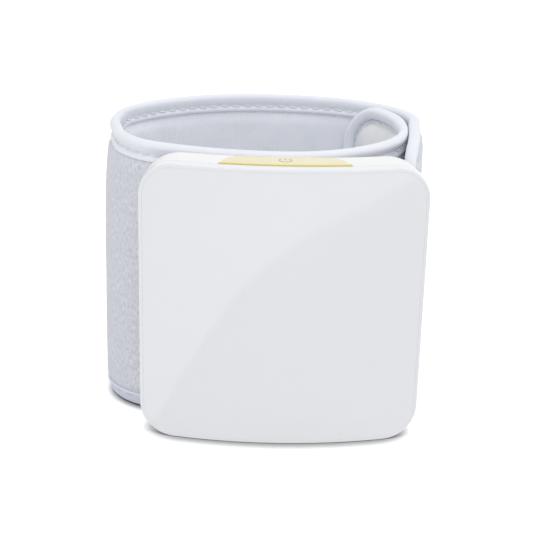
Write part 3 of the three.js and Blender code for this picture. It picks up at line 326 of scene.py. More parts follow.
# Rings with the same count of points, joined one after the other and closed at both ends: by one flat face,
# or where the end is bowed by strips across it
def joinRings(rings, bowed=False):
    count = len(rings[0])
    last = count * (len(rings) - 1)
    vertices = [point for ring in rings for point in ring]
    faces = []
    for start in range(0, last, count):
        for j in range(count):
            k = (j + 1) % count
            faces.append((start + j, start + k, start + count + k, start + count + j))
    for start in (0, last):
        end = start + count - 1
        if bowed:
            faces += [(start + j, start + j + 1, end - 1 - j, end - j) for j in range(count // 2 - 1)]
        else:
            faces.append(tuple(range(start, end + 1)))
    return vertices, faces


def merged(parts):
    vertices, faces, uvs = [], [], []
    for partVertices, partFaces, partUvs in parts:
        base = len(vertices)
        vertices += partVertices
        uvs += partUvs
        faces += [tuple(base + i for i in face) for face in partFaces]
    return vertices, faces, uvs


def settle(piece, body, *nodes):
    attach(piece, body)
    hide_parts(*nodes)


case = {
    "width": 72, "height": 73, "depth": 12.8,
    "bow": 114.6,  # plan radius of the front
    "corner": 8.6,
    "backCorner": 11,  # the corners grow rounder from the seam to the back
    "cornerSteps": 14, "flatSteps": 34, "wall": 1.6, "frontWall": 2.2,
    "parting": 3.8,  # depth of the seam between the two shells
    "seam": 0.3, "lipHeight": 1.2, "lipLedge": 1.5, "lipGap": 0.3, "lipThickness": 0.8,
    "rimRadius": 0.32,  # round on the front edge
    "rimBeside": (0.3, 0.04),  # from it to the next ring on the wall and on the front
    "backRadius": 1.1, "backBeside": 0.4, "edgeRadius": 0.15, "roundSteps": 5,
}
caseWhite = finishes["white_case"]
panel = {"inset": 0.9, "seam": 0.015, "gap": 0.2, "thickness": 1, "edgeRadius": 0.03}

frontY = -case["depth"] / 2
bendY = frontY + case["bow"]
topZ = case["height"]


def surfaceY(depth, x):
    return bendY - sqrt((case["bow"] - depth) ** 2 - x * x)


# The front outline drawn in by an inset, at a depth behind the bowed front. It runs left to right along the
# bottom and back along the top, so that facing points share an x and straight strips fill a bowed face.
def caseRing(inset, depth):
    behind = max(depth - case["parting"], 0) / (case["depth"] - case["parting"])
    corner = case["corner"] + (case["backCorner"] - case["corner"]) * behind
    radius = corner - inset
    centre = case["width"] / 2 - corner
    steps = case["cornerSteps"]
    turns = [pi / 2 * k / steps for k in range(steps + 1)]
    bottom = [(-centre - radius * cos(a), corner - radius * sin(a)) for a in turns]
    for k in range(1, case["flatSteps"]):
        bottom.append((-centre + 2 * centre * k / case["flatSteps"], inset))
    bottom += [(centre + radius * sin(a), corner - radius * cos(a)) for a in turns]
    outline = bottom + [(x, topZ - z) for x, z in reversed(bottom)]
    return [(x, surfaceY(depth, x), z) for x, z in outline]


# A closed shell through rings of (inset, depth), with a bowed face on the first and on the last, which lie
# a little in from the edge. A ring beside each round keeps the flat next to it flat in the shading.
def caseShell(name, profile, material):
    rings = [caseRing(inset, depth) for inset, depth in profile]
    return addPiece(name, *joinRings(rings, bowed=True), material)


# Points of a quarter round from one (inset, depth) to another, bulging towards a corner
def quarter(start, corner, end):
    points = []
    for k in range(case["roundSteps"] + 1):
        a = pi / 2 * k / case["roundSteps"]
        points.append(tuple(
            s + e - c + (c - e) * cos(a) + (c - s) * sin(a) for s, c, e in zip(start, corner, end)
        ))
    return points


def frontPanel():
    inset = panel["inset"] + panel["seam"]
    r = panel["edgeRadius"]
    profile = [(inset + 1, panel["thickness"]), (inset, panel["thickness"]), (inset, 2 * r)]
    profile += quarter((inset, r), (inset, 0), (inset + r, 0))
    profile += [(inset + 3 * r, 0), (inset + 2, 0)]
    settle(caseShell("clear_front", profile, finishes["gloss_front"]), "root", "front_panel")


def frontCover():
    skirt = case["parting"] - case["seam"]
    r, edge, wall = case["rimRadius"], case["edgeRadius"], case["wall"]
    inset, lip = panel["inset"], panel["edgeRadius"]
    floor = panel["thickness"] + panel["gap"]
    profile = [(wall + 1, case["frontWall"]), (wall, case["frontWall"]), (wall, skirt), (3 * edge, skirt)]
    profile += quarter((edge, skirt), (0, skirt), (0, skirt - edge))
    onWall, onFront = case["rimBeside"]
    profile += [(0, skirt - 3 * edge), (0, r + onWall)]
    profile += quarter((0, r), (0, 0), (r, 0))
    profile += [(r + onFront, 0), (inset - 2 * lip, 0), (inset - lip, 0)]
    profile += [(inset, lip), (inset, floor), (inset + 1, floor)]
    settle(caseShell("front_shell", profile, finishes["cover"]), "root", "front_cover")


button = {
    "frontWidth": 32.4, "backWidth": 26.8, "backDepth": 11, "corner": 4.6, "proud": 0.4, "gap": 0.3,
    "edgeRadius": 0.35, "flange": 1.2, "flangeThickness": 0.8, "bossRadius": 1.6,
    "bossSink": 0.4,  # how far below the flange's top the boss begins
    "room": 4,  # how far below the lip the shell is cut away for the flange
    "arcSteps": 28, "cornerSteps": 8, "signRadius": 1.5, "signLine": 0.42, "signThickness": 0.04,
    "signSink": 0.01,
    "signGap": 38,  # degrees of the ring left open on each side of the bar
    "signSteps": 32, "barStart": 0.35,
    "barRise": 0.2,  # how far the bar stands out of the ring
}


def buttonHalf(depth):
    slope = (button["backWidth"] - button["frontWidth"]) / 2 / (button["backDepth"] - case["parting"])
    return button["frontWidth"] / 2 + slope * (depth - case["parting"])


# The button's plan outline between two depths, grown by a gap: bowed front, sloping sides, round back corners
def buttonOutline(frontDepth, backDepth, grow):
    halfFront = buttonHalf(frontDepth) + grow
    halfBack = buttonHalf(backDepth) + grow
    corner, steps = button["corner"], button["arcSteps"]
    frontCorner = Vector((halfFront, surfaceY(frontDepth, halfFront)))
    backCorner = Vector((halfBack, surfaceY(backDepth, halfBack)))
    side = backCorner.lerp(frontCorner, corner / (backCorner - frontCorner).length)
    inner = Vector((halfBack - corner, surfaceY(backDepth, halfBack - corner)))
    front = [-halfFront + 2 * halfFront * k / steps for k in range(steps + 1)]
    points = [(x, surfaceY(frontDepth, x)) for x in front]
    turn = []
    for k in range(button["cornerSteps"] + 1):
        t = k / button["cornerSteps"]
        turn.append(side.lerp(backCorner, t).lerp(backCorner.lerp(inner, t), t))
    points += [(p.x, p.y) for p in turn]
    back = [inner.x - 2 * inner.x * k / steps for k in range(1, steps)]
    points += [(x, surfaceY(backDepth, x)) for x in back]
    points += [(-p.x, p.y) for p in reversed(turn)]
    return points


# An outline drawn in by a distance along the mitres of its corners
def drawIn(points, distance):
    count = len(points)
    moved = []
    for i in range(count):
        here = Vector(points[i])
        before = (here - Vector(points[i - 1])).normalized()
        after = (Vector(points[(i + 1) % count]) - here).normalized()
        mitre = Vector((-before.y - after.y, before.x + after.x))
        mitre /= max(mitre.length_squared / 2, 0.2)  # which keeps that of a sharp corner short
        moved.append(tuple(here + mitre * distance))
    return moved


def prism(name, layers, material):
    rings = [[(x, y, z) for x, y in outline] for outline, z in layers]
    return addPiece(name, *joinRings(rings), material)


def startButton():
    gap, r = button["gap"], button["edgeRadius"]
    innerDepth = case["depth"] - case["wall"]
    cap = buttonOutline(case["parting"], button["backDepth"], 0)
    flange = buttonOutline(case["frontWall"] + 2 * gap, innerDepth - 2 * gap, button["flange"])
    flangeTop = topZ - case["wall"] - gap
    top = topZ + button["proud"]
    layers = [(flange, flangeTop - button["flangeThickness"]), (flange, flangeTop), (cap, flangeTop)]
    for k in range(case["roundSteps"] + 1):
        a = pi / 2 * k / case["roundSteps"]
        layers.append((drawIn(cap, r * (1 - cos(a))), top - r + r * sin(a)))
    piece = prism("start_key", layers, finishes["yellow_button"])
    low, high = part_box("switch_plunger")
    boss = [high.z / mm + gap, flangeTop - button["bossSink"]]
    combine(piece, [rodAlong("Z", button["bossRadius"], (low + high) / 2 / mm, boss)], "UNION")
    settle(piece, "button", "start_button")

    # A plain power sign: an open ring and a bar
    centreY = (surfaceY(case["parting"], 0) + surfaceY(button["backDepth"], 0)) / 2
    half, steps = button["signLine"] / 2, button["signSteps"]
    inner, outer = button["signRadius"] - half, button["signRadius"] + half
    opening = radians(button["signGap"])
    turns = [opening + (2 * pi - 2 * opening) * k / steps for k in range(steps + 1)]
    ring = [(sin(a), cos(a)) for a in turns]
    shapes = [[(x * outer, y * outer) for x, y in ring] + [(x * inner, y * inner) for x, y in reversed(ring)]]
    start, end = button["barStart"], outer + button["barRise"]
    shapes.append([(-half, start), (half, start), (half, end), (-half, end)])
    heights = (top - button["signSink"], top + button["signThickness"])
    parts = [(*joinRings([[(x, centreY + y, z) for x, y in shape] for z in heights]), []) for shape in shapes]
    sign = addPiece("start_sign", *merged(parts)[:2], finishes["ink"])
    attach(sign, "button")


# A round rod along an axis from place to place, with one radius or a list of them
def rodAlong(axis, radius, centre, places, sides=40):
    rings = []
    for i, place in enumerate(places):
        r = radius[i] if isinstance(radius, list) else radius
        ring = []
        for k in range(sides):
            a = 2 * pi * k / sides
            u, v = centre[0] + r * cos(a), centre[1] + r * sin(a)
            ring.append((u, place, v) if axis == "Y" else (u, v, place))
        rings.append(ring)
    return addPiece("cutter", *joinRings(rings), caseWhite)


def combine(piece, tools, operation):
    for tool in tools:
        step = piece.modifiers.new("combine", "BOOLEAN")
        step.operation = operation
        step.solver = "EXACT"
        step.object = tool
    done = bpy.data.meshes.new_from_object(piece.evaluated_get(bpy.context.evaluated_depsgraph_get()))
    piece.modifiers.clear()
    old = piece.data
    piece.data = done
    bpy.data.meshes.remove(old)
    done.name = piece.name
    for tool in tools:
        mesh = tool.data
        bpy.data.objects.remove(tool)
        bpy.data.meshes.remove(mesh)
    smoothPiece(piece, sharpAngle=35)


fastening = {
    "postRadius": 3,
    "postGap": 0.15,  # half the gap between the posts of the two shells
    "sink": 3, "boreRadius": 1.3, "headRadius": 2.2, "cuffX": 12, "inletX": -2.5, "inletRadius": 2.3,
    "slotGap": 0.3, "slotReach": 6,
    "inletStart": 3,
    "past": 2,  # how far a cutter reaches past what it cuts
    "apart": 0.1,  # so that two cutters share no face
    "behind": 30,  # where one ends that leaves through the back
}


def rearCase():
    wall, depth, parting = case["wall"], case["depth"], case["parting"]
    r, beside, edge = case["backRadius"], case["backBeside"], case["edgeRadius"]
    innerDepth = depth - wall
    ledge = parting + case["lipLedge"]
    lipOut = wall + case["lipGap"]
    lipIn = lipOut + case["lipThickness"]
    lipTop = parting - case["lipHeight"]
    profile = [(wall + 2, innerDepth), (wall, innerDepth), (wall, ledge), (lipIn, ledge), (lipIn, lipTop)]
    profile += [(lipOut, lipTop), (lipOut, parting), (3 * edge, parting)]
    profile += quarter((edge, parting), (0, parting), (0, parting + edge))
    profile += [(0, parting + 3 * edge), (0, depth - r - beside)]
    profile += quarter((0, depth - r), (0, depth), (r, depth))
    profile += [(r + beside, depth), (r + 3, depth)]
    piece = caseShell("rear_shell", profile, caseWhite)

    postX = case["width"] / 2 - case["corner"]
    split = (surfaceY(case["frontWall"], postX) + surfaceY(innerDepth, postX)) / 2
    seat = surfaceY(depth, postX) - fastening["sink"]
    places = [(x, z) for x in (-postX, postX) for z in (case["corner"], topZ - case["corner"])]
    post = [split + fastening["postGap"], surfaceY(depth - wall / 2, postX)]
    combine(piece, [rodAlong("Y", fastening["postRadius"], at, post) for at in places], "UNION")

    past, behind = fastening["past"], fastening["behind"]
    bore, head = fastening["boreRadius"], fastening["headRadius"]
    tools = [rodAlong("Y", [bore, bore, head, head], at, [split - past, seat, seat, behind]) for at in places]
    for x in (-fastening["cuffX"], fastening["cuffX"]):
        for z in (topZ / 4, topZ * 3 / 4):
            tools.append(rodAlong("Y", bore, (x, z), [surfaceY(innerDepth, x) - past, behind]))
    low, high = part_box("cuff_tube")
    inlet = (fastening["inletX"], (low.z + high.z) / 2 / mm)
    tools.append(rodAlong("Y", fastening["inletRadius"], inlet, [fastening["inletStart"], behind]))
    low, high = (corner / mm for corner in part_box("usb_socket"))
    gap = fastening["slotGap"]
    start, end = case["width"] / 2 - wall - past, high.x + fastening["slotReach"]
    slot = [(start, low.y - gap), (end, low.y - gap), (end, high.y + gap), (start, high.y + gap)]
    tools.append(prism("cutter", [(slot, low.z - gap), (slot, high.z + gap)], caseWhite))
    front = lipTop - past
    hole = buttonOutline(front, button["backDepth"] + button["gap"], button["gap"])
    room = buttonOutline(front, innerDepth - button["gap"], button["flange"] + button["gap"])
    bottom = topZ - wall - case["lipThickness"] - button["room"]
    tools.append(prism("cutter", [(hole, bottom), (hole, topZ + past)], caseWhite))
    tools.append(prism("cutter", [(room, bottom - fastening["apart"]), (room, topZ - wall)], caseWhite))
    combine(piece, tools, "DIFFERENCE")
    settle(piece, "root", "rear_case")


frontPanel()
frontCover()
rearCase()
startButton()
print("case made")

cuff = {
    "height": 73.4, "startY": 9.75, "longRadii": [72.5, 17, 40, 27.5, 47, 79.5, 25.5, 222],
    "longTurns": [27, 26, 30, 49, 49, 18, 75, 9], "shortRadii": [31.5, 42, 31, 54, 28.5],
    "shortTurns": [31, 15, 36, 10, 57], "longCorner": 9, "shortCorner": 12.6,
    "leanPivot": 0.98,  # height at which a leaning side stays in place, as a share
    "flareTop": 22,  # heights up to which the foot flares, rolls in and tucks in
    "rollTop": 5, "tuckTop": 12, "sewnHalf": 0.55, "fabric": 0.45, "fabricEdge": 0.8, "step": 1.1,
    "outerTape": 5.15,  # width of the binding on the outer face
    "footTape": 3.8,  # the same along the bottom, and on the tip
    "tipTape": 3.6,
    "taper": (55, 40),  # the height below which it narrows, and over what height
    "innerTape": 5.1,  # width on the inner face
    "curlTape": 4.6,  # the same where the short end curls in
    "wave": 0.22,  # how uneven the soft faces are, and over what lengths
    "wavePitch": (13, 17),
    "outerSeed": 3.1, "liningSeed": 8.7,  # so that the two faces differ
}
cuffTop = cuff["height"]
coverSeam = -46  # along the band, where the cover over the air bag is sewn to the lining
zoneSplits = (55.1, 124.7)  # along the band, where one piece of cloth hands over to the next
# The bodies that meet at each bend, and where along the band it turns from one to the other
bends = {"strap": ("root", "strap", 60, 108), "tip": ("strap", "tip", 149, 185)}
# Forms along the band: how far each goes in mm or as a share, where it begins and over what length it grows,
# and the same for its end if it has one
forms = {
    "lean": (3.6, 26, 20, 46, 24),  # the foot of the left side stands out
    "flare": (3.3, 20, 14, 33, 24),  # its lowest edge turns out further
    "rollIn": (1.1, 15, 15, 48, 14),  # its binding rolls in again under that
    "tuck": (1.3, 46, 12, 80, 12),  # the foot tucks in where it turns to the back
    "draw": (1.2, 46, 12, 70, 10),  # the side is drawn in behind that
    "tipSwell": (0.45, 150, 15, 176, 12),  # the turn to the tip stands out
    "tipSettle": (0.5, 176, 12),  # the tip settles in
    "tipDrop": (0.35, 145, 20),  # its upper edge is lower
    "tipTape": (1, 150, 20),  # its tape is narrower
    "tip": (1, 145, 20), "left": (1, 44, 14, 76, 16), "uncurled": (1, -60, 16),
    "long": (1.8, -45, 20),  # the outer face swells more past the short end
    "turned": (0.35, 25, 15),  # and less from the left turn on
    "pastBag": (0.75, 70, 40),  # the lining is flatter past the air bag
    "thin": (0.6, 135, 30),  # and flatter again on the tip
    "backTape": (1, 70, 30),  # the binding is fuller along the back, on the tip and at the foot
    "tipFull": (0.4, 150, 15), "foot": (1, 15, 15, 70, 14),
    "tube": (0.55, -48, 14, 70, 14),  # it is rounder along the front
}
# How far the two soft faces swell, in mm or as shares
swell = {
    "outer": 0.7,  # the outer face on the short end
    "left": 0.45,  # more on the left side
    "fullest": 0.64,  # the height at which it is fullest
    "fall": 0.42,  # how much of it goes towards the edges, with more on the left side and less on the tip
    "leftFall": 0.24, "tipFall": 0.3,
    "under": 2.5,  # how far under the tape it begins, over what width it rises, and how much less on the tip
    "rise": 5, "tipUnder": 2.2, "tipRise": 3.2,
    "lining": 0.2,  # the lining throughout, and more over the air bag
    "bag": 1.35,
    "dome": 3.2,  # more where the short end curls in
    "liningUnder": 0.2,
    "domeUnder": 0.25,  # how much less there
    "liningRise": 4,
    "domeRise": 5,  # how much wider there
    "middle": 0.2,  # the part of it that comes only far from the edges, and how far
    "middleReach": 30,
    "seamDip": 0.25,  # how much of it the cover's seam takes, and over what width
    "seamHalf": 1.6,
}


def arcsOf(radii, turns):
    return [(radius, radians(turn)) for radius, turn in zip(radii, turns)]


longArcs = arcsOf(cuff["longRadii"], cuff["longTurns"])
shortArcs = arcsOf(cuff["shortRadii"], cuff["shortTurns"])
longEnd = sum(radius * turn for radius, turn in longArcs)
shortEnd = -sum(radius * turn for radius, turn in shortArcs)


def ease(value):
    t = min(max(value, 0), 1)
    return t * t * (3 - 2 * t)


def formAt(s, form):
    size, begin, grow, *end = forms[form]
    share = size * ease((s - begin) / grow)
    return share * (1 - ease((s - end[0]) / end[1])) if end else share


# A point of the band: s along it from the middle of the case, positive to the left, n towards the wrist
def cuffPoint(s, z, n):
    n += formAt(s, "lean") * (z / cuffTop - cuff["leanPivot"])
    n += formAt(s, "draw")
    n -= formAt(s, "flare") * max(1 - z / cuff["flareTop"], 0) ** 2
    n += formAt(s, "rollIn") * max(1 - z / cuff["rollTop"], 0) ** 1.5
    n += formAt(s, "tuck") * max(1 - z / cuff["tuckTop"], 0)
    n += formAt(s, "tipSettle") - formAt(s, "tipSwell")
    side = 1 if s < 0 else -1
    x = y = heading = 0
    left = abs(s)
    for radius, turn in shortArcs if s < 0 else longArcs:
        angle = min(turn, left / radius)
        x += radius * (sin(heading + angle) - sin(heading))
        y += radius * (cos(heading) - cos(heading + angle))
        heading += angle
        left -= radius * angle
    x += left * cos(heading)
    y += left * sin(heading)
    z -= formAt(s, "tipDrop") * z / cuffTop
    return side * (x - n * sin(heading)), cuff["startY"] + y + n * cos(heading), z


def endCorner(s):
    return cuff["shortCorner"] if s < 0 else cuff["longCorner"]


def edgeDistance(s, z):
    fromSide = min(z, cuffTop - z)
    fromEnd = min(longEnd - s, s - shortEnd)
    r = endCorner(s)
    if fromSide < r and fromEnd < r:
        return r - hypot(r - fromSide, r - fromEnd)
    return min(fromSide, fromEnd)


def unevenness(s, z, seed):
    along, up = cuff["wavePitch"]
    return cuff["wave"] * noise.noise(Vector((s / along, z / up, seed)))


def outerTapeAt(s, z):
    below, over = cuff["taper"]
    width = cuff["outerTape"] + (cuff["footTape"] - cuff["outerTape"]) * ease((below - z) / over)
    return width + (cuff["tipTape"] - width) * formAt(s, "tipTape")


# How far the short end has curled in
def curlAt(s):
    return 1 - formAt(s, "uncurled")


def innerTapeAt(s):
    return cuff["innerTape"] + (cuff["curlTape"] - cuff["innerTape"]) * curlAt(s)


# How far each face swells along the band
def outerCrownAt(s):
    return swell["outer"] + formAt(s, "long") - formAt(s, "turned")


def liningCrownAt(s):
    return swell["bag"] - formAt(s, "thin") - formAt(s, "pastBag")


# The outer face swells from under the binding, fast at first, then slowly to its fullest above the middle
def outerSwell(s, z):
    left, tip = formAt(s, "left"), formAt(s, "tip")
    crown = outerCrownAt(s) + swell["left"] * left
    v, top = z / cuffTop, swell["fullest"]
    fall = swell["fall"] + swell["leftFall"] * left - swell["tipFall"] * tip
    belly = 1 - fall * ((v - top) / (top if v < top else 1 - top)) ** 2
    fromTape = edgeDistance(s, z) - outerTapeAt(s, z) + swell["under"] - swell["tipUnder"] * tip
    rise = ease(fromTape / (swell["rise"] - swell["tipRise"] * tip))
    return rise * (crown * belly + unevenness(s, z, cuff["outerSeed"]))


def outerFace(s, z):
    return -cuff["sewnHalf"] - outerSwell(s, z)


# The lining is nearly flat at the back, fuller over the air bag and fullest where the short end curls in
def liningFace(s, z):
    dome = curlAt(s)
    crown = swell["lining"] + liningCrownAt(s) + swell["dome"] * dome
    fromTape = edgeDistance(s, z) - innerTapeAt(s) + swell["liningUnder"] - swell["domeUnder"] * dome
    fullness = 1 - swell["middle"] + swell["middle"] * ease(fromTape / swell["middleReach"])
    t = min(max(fromTape / (swell["liningRise"] + swell["domeRise"] * dome), 0), 1)
    rise = ease(t) * (1 - dome) + sqrt(t * (2 - t)) * dome
    rise *= 1 - swell["seamDip"] * max(1 - abs(s - coverSeam) / swell["seamHalf"], 0)
    return cuff["sewnHalf"] + rise * (crown * fullness + unevenness(s, z, cuff["liningSeed"]))


def stationsBetween(start, end, step):
    count = max(ceil(abs(end - start) / step), 1)
    return [start + (end - start) * k / count for k in range(count + 1)]


# Distances from the fabric's edge, closer together beside a binding, and those on to the middle
endSteps = [0, 0.8, 1.8, 2.8, 3.4, 3.9, 4.4, 4.9, 5.4, 6, 6.7, 7.5, 8.4]
rowSteps = endSteps + [9.6, 11, 12.7, 14.7, 17, 19.6, 22.5, 25.6, 28.9, 32.3]
rowSpan = 36
evenFrom = 0.9  # from the last of the end's steps to the first even station


# Stations along the band: closer at a free end, which they stop short of by the fabric's edge
def fabricStations(start, end):
    opening, closing = [], []
    if start == shortEnd:
        opening = [start + cuff["fabricEdge"] + step for step in endSteps]
        start = opening.pop() + evenFrom
    if end == longEnd:
        closing = [end - cuff["fabricEdge"] - step for step in endSteps]
        end = closing.pop() - evenFrom
    return opening + stationsBetween(start, end, cuff["step"]) + closing[::-1]


def fabricRows(s):
    edge = cuff["fabricEdge"]
    fromEnd = min(longEnd - s, s - shortEnd) - edge
    radius = endCorner(s) - edge
    inCorner = max(radius - fromEnd, 0)
    low = edge + radius - sqrt(max(radius * radius - inCorner * inCorner, 0))
    lower = [low + step * (1 - (low - edge) / rowSpan) for step in rowSteps]
    return lower + [cuffTop / 2] + [cuffTop - z for z in reversed(lower)]


# A closed layer of the band between two faces, each a function of s and z
def layerPiece(name, stations, rows, outer, inner, material):
    rings, uvs = [], []
    for s in stations:
        heights = rows(s)
        ring = [cuffPoint(s, z, outer(s, z)) for z in heights]
        ring += [cuffPoint(s, z, inner(s, z)) for z in reversed(heights)]
        rings.append(ring)
        uvs += [(s, z) for z in heights + heights[::-1]]
    return addPiece(name, *joinRings(rings, bowed=True), material, sharpAngle=60, uvs=uvs)


binding = {
    "pitch": 3.5,  # from stitch to stitch
    "steps": 5,  # stations for each stitch
    # how far from the fold and how far out from the middle of the band, as shares of the tape's width and mm
    "bead": [(1, 0.55), (1.005, 0.78), (0.985, 0.95), (0.94, 1.04), (0.84, 1.02), (0.76, 0.88), (0.7, 0.69),
             (0.64, 0.76), (0.57, 0.9), (0.48, 1.03), (0.38, 1.11), (0.28, 1.15), (0.18, 1.1), (0.1, 0.93),
             (0.04, 0.64), (0.008, 0.3)],
    "groove": 0.7,  # share of the tape's width at which the stitches lie
    "strip": 0.6,  # where the bead ends and the sewn strip begins
    "under": [(0.98, 0.5), (0.5, 0.5), (0.25, 0.48), (0.12, 0.3)],
    "pucker": 0.12,  # how much deeper the thread pulls the tape where it goes in, and how far that reaches
    "puckerReach": 0.13,
    "fuller": 0.27,  # how much fuller it is where it is fullest
    "footTop": (40, 20),  # the height below which the foot is, and over what height it comes
    "footLean": 0.5,  # how far the bead leans in there
    "tubePlace": (0.28, 0.36),  # where on the tape it is rounder along the front, and above what height
    "tubeFrom": (40, 15),
    "curlBead": 0.9,  # where the short end curls in, how much higher its bead and lower its strip is,
    "curlStrip": -0.25,
    "curlSpread": 0.14,  # and how far the bead spreads over the strip
}
stitch = {
    "length": 2.8, "radius": 0.27, "lift": 0.04, "sink": 0.3, "slant": 0.2, "sides": 8, "rings": 7,
    "point": 0.05, "taper": 0.6,  # how thin it ends, and how evenly
    "stand": 0.6,  # how far its middle stands out of the crease, in radii
}


# A run of the band's edge: points with their place, the direction into the band and the length so far
def edgeRun(start, end, z, inZ):
    step = binding["pitch"] / binding["steps"]
    return [(s, z, 0, inZ, s) for s in stationsBetween(start, end, step)]


# From a split along the top edge, round a free end and back along the bottom edge
def edgeRound(start, end):
    sign = 1 if end > start else -1
    r = endCorner(end)
    centre = end - sign * r
    high = cuffTop
    quarterLength = r * pi / 2
    endLength = 2 * quarterLength + high - 2 * r
    scale = round(endLength / binding["pitch"]) * binding["pitch"] / endLength
    points = []
    for t in stationsBetween(0, endLength, binding["pitch"] / binding["steps"]):
        a = min(t, endLength - t, quarterLength) / r
        half = 1 if t < endLength / 2 else -1
        z = min(max(high - r + quarterLength - t, r), high - r) + half * r * cos(a)
        s = centre + sign * r * sin(a)
        points.append((s, z, -sign * sin(a), -half * cos(a), centre + sign * t * scale))
    return edgeRun(start, centre, high, -1)[:-1] + points + edgeRun(centre, start, 0, 1)[1:]


# How far round the foot of the left side
def footAt(s, z):
    below, over = binding["footTop"]
    return formAt(s, "foot") * ease((below - z) / over)


# The binding is fuller along the back, on the tip and at the foot
def tapeFullness(s, z):
    behind = formAt(s, "backTape") + formAt(s, "tipFull")
    return 1 + binding["fuller"] * max(behind, footAt(s, z))


# The bead leans in at the foot, is rounder along the front, and stands up where the short end curls in
def beadShape(s, z, side, share):
    strip = binding["strip"]
    if side > 0:
        return 1 + curlAt(s) * binding["curlBead" if share < strip else "curlStrip"]
    above, over = binding["tubeFrom"]
    middle, half = binding["tubePlace"]
    tube = formAt(s, "tube") * ease((z - above) / over)
    lean = binding["footLean"] * footAt(s, z) * max(1 - share / strip, 0) ** 2
    return 1 - lean + tube * max(1 - ((share - middle) / half) ** 2, 0)


# Where the short end curls in, its bead spreads over the tape and leaves the stitches in a deep crease
def spreadAt(s, side, share):
    reach = binding["curlSpread"] * curlAt(s) if side > 0 else 0
    groove = binding["groove"]
    if share > groove:
        return share + reach * (1 - min(share, 1)) / (1 - groove)
    return share + reach * (share / groove) ** 2


# A point of the tape or its thread, which follows the swell of the outer cloth
def boundPoint(s, z, n):
    return cuffPoint(s, z, n if n >= 0 else n - outerSwell(s, z))


def bindingFaces(run):
    rings, uvs = [], []
    for s, z, inS, inZ, t in run:
        full = tapeFullness(s, z)
        pull = binding["pucker"] * cos(2 * pi * t / binding["pitch"])
        outerWidth, innerWidth = outerTapeAt(s, z), innerTapeAt(s)
        chain = []
        for side, width in ((-1, outerWidth), (1, innerWidth)):
            half = []
            for share, out in binding["bead"]:
                near = max(1 - abs(share - binding["groove"]) / binding["puckerReach"], 0)
                out = (out - pull * near) * beadShape(s, z, side, share)
                if share > binding["strip"]:
                    out = max(out, cuff["sewnHalf"] + 0.01)  # the strip lies on the cloth
                half.append((spreadAt(s, side, share) * width, side * out * full))
            chain += half + [(0, 0)] if side < 0 else half[::-1]
        chain += [(share * innerWidth, out) for share, out in binding["under"]]
        chain += [(share * outerWidth, -out) for share, out in reversed(binding["under"])]
        rings.append([boundPoint(s + e * inS, z + e * inZ, n) for e, n in chain])
        uvs += [(t, e if n < 0 else -e) for e, n in chain]
    return (*joinRings(rings), uvs)


# Stitches along a run, on both faces: short threads that go in at each end and lie a little aslant
def stitchFaces(run):
    parts = []
    pitch, groove, radius = binding["pitch"], binding["groove"], stitch["radius"]
    for first, last in zip(run, run[1:]):
        if (first[4] / pitch - 0.5) // 1 == (last[4] / pitch - 0.5) // 1:
            continue
        s, z, inS, inZ, middle = ((a + b) / 2 for a, b in zip(first, last))
        depth = dict(binding["bead"])[groove] * tapeFullness(s, z)
        for side, width in ((-1, outerTapeAt(s, z)), (1, innerTapeAt(s))):
            rings, uvs = [], []
            pinch = max(depth * beadShape(s, z, side, groove), cuff["sewnHalf"])
            row = spreadAt(s, side, groove) * width
            for i in range(stitch["rings"]):
                turn = pi * i / (stitch["rings"] - 1)
                along = -cos(turn)
                girth = max(sin(turn), stitch["point"]) ** stitch["taper"]
                t = along * stitch["length"] / 2
                sink = stitch["lift"] - stitch["sink"] * along ** 4
                ring = []
                for k in range(stitch["sides"]):
                    a = 2 * pi * k / stitch["sides"]
                    e = row + along * stitch["slant"] + radius * girth * cos(a)
                    n = side * (pinch + sink + radius * (stitch["stand"] + girth * sin(a)))
                    ring.append(boundPoint(s + e * inS + t * abs(inZ), z + e * inZ + t * abs(inS), n))
                    uvs.append((middle + t, e + a * radius))
                rings.append(ring)
            parts.append((*joinRings(rings), uvs))
    return merged(parts)


# Each zone of the band: its ends along it, and the bindings that its tape stands for
zones = {
    "cuff": (shortEnd, zoneSplits[0], ["cuff_binding"]),
    "strap": (*zoneSplits, ["strap_binding_top", "strap_binding_bottom"]),
    "tip": (zoneSplits[1], longEnd, ["tip_binding"]),
}


def moveWith(piece, zone):
    if zone not in bends:
        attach(piece, "root")
        return
    before, after, *places = bends[zone]
    start, end = (tuple(Vector(cuffPoint(s, cuffTop / 2, 0)) * mm) for s in places)
    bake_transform(piece)


for zone, (start, end, bindings) in zones.items():
    stations = fabricStations(start, end)
    thick = cuff["fabric"]
    outerCloth = layerPiece(
        zone + "_loop_cloth", stations, fabricRows, outerFace, lambda s, z: outerFace(s, z) + thick,
        finishes["outer_fabric"],
    )
    liningCloth = layerPiece(
        zone + "_lining_cloth", stations, fabricRows, lambda s, z: liningFace(s, z) - thick, liningFace,
        finishes["lining_fabric"],
    )
    if zone == "cuff":
        liningCloth.data.materials.append(finishes["bag_cover"])
        places = [uv.uv.x / mm for uv in liningCloth.data.uv_layers["cloth"].data]
        for face in liningCloth.data.polygons:
            face.material_index = int(places[face.loop_start] < coverSeam)
    if zone == "strap":
        runs = [edgeRun(start, end, cuffTop, -1), edgeRun(start, end, 0, 1)]
    else:
        runs = [edgeRound(end, start) if zone == "cuff" else edgeRound(start, end)]
    vertices, faces, uvs = merged([bindingFaces(run) for run in runs])
    tape = addPiece(zone + "_edge_tape", vertices, faces, finishes["binding_tape"], sharpAngle=50, uvs=uvs)
    vertices, faces, uvs = merged([stitchFaces(run) for run in runs])
    thread = addPiece(zone + "_edge_stitches", vertices, faces, finishes["thread"], sharpAngle=60, uvs=uvs)
    for piece in (outerCloth, liningCloth, tape, thread):
        moveWith(piece, zone)
    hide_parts(zone + "_outer_fabric")
    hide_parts(zone + "_lining")
    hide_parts(*bindings)
    print("cloth of the", zone, "made")

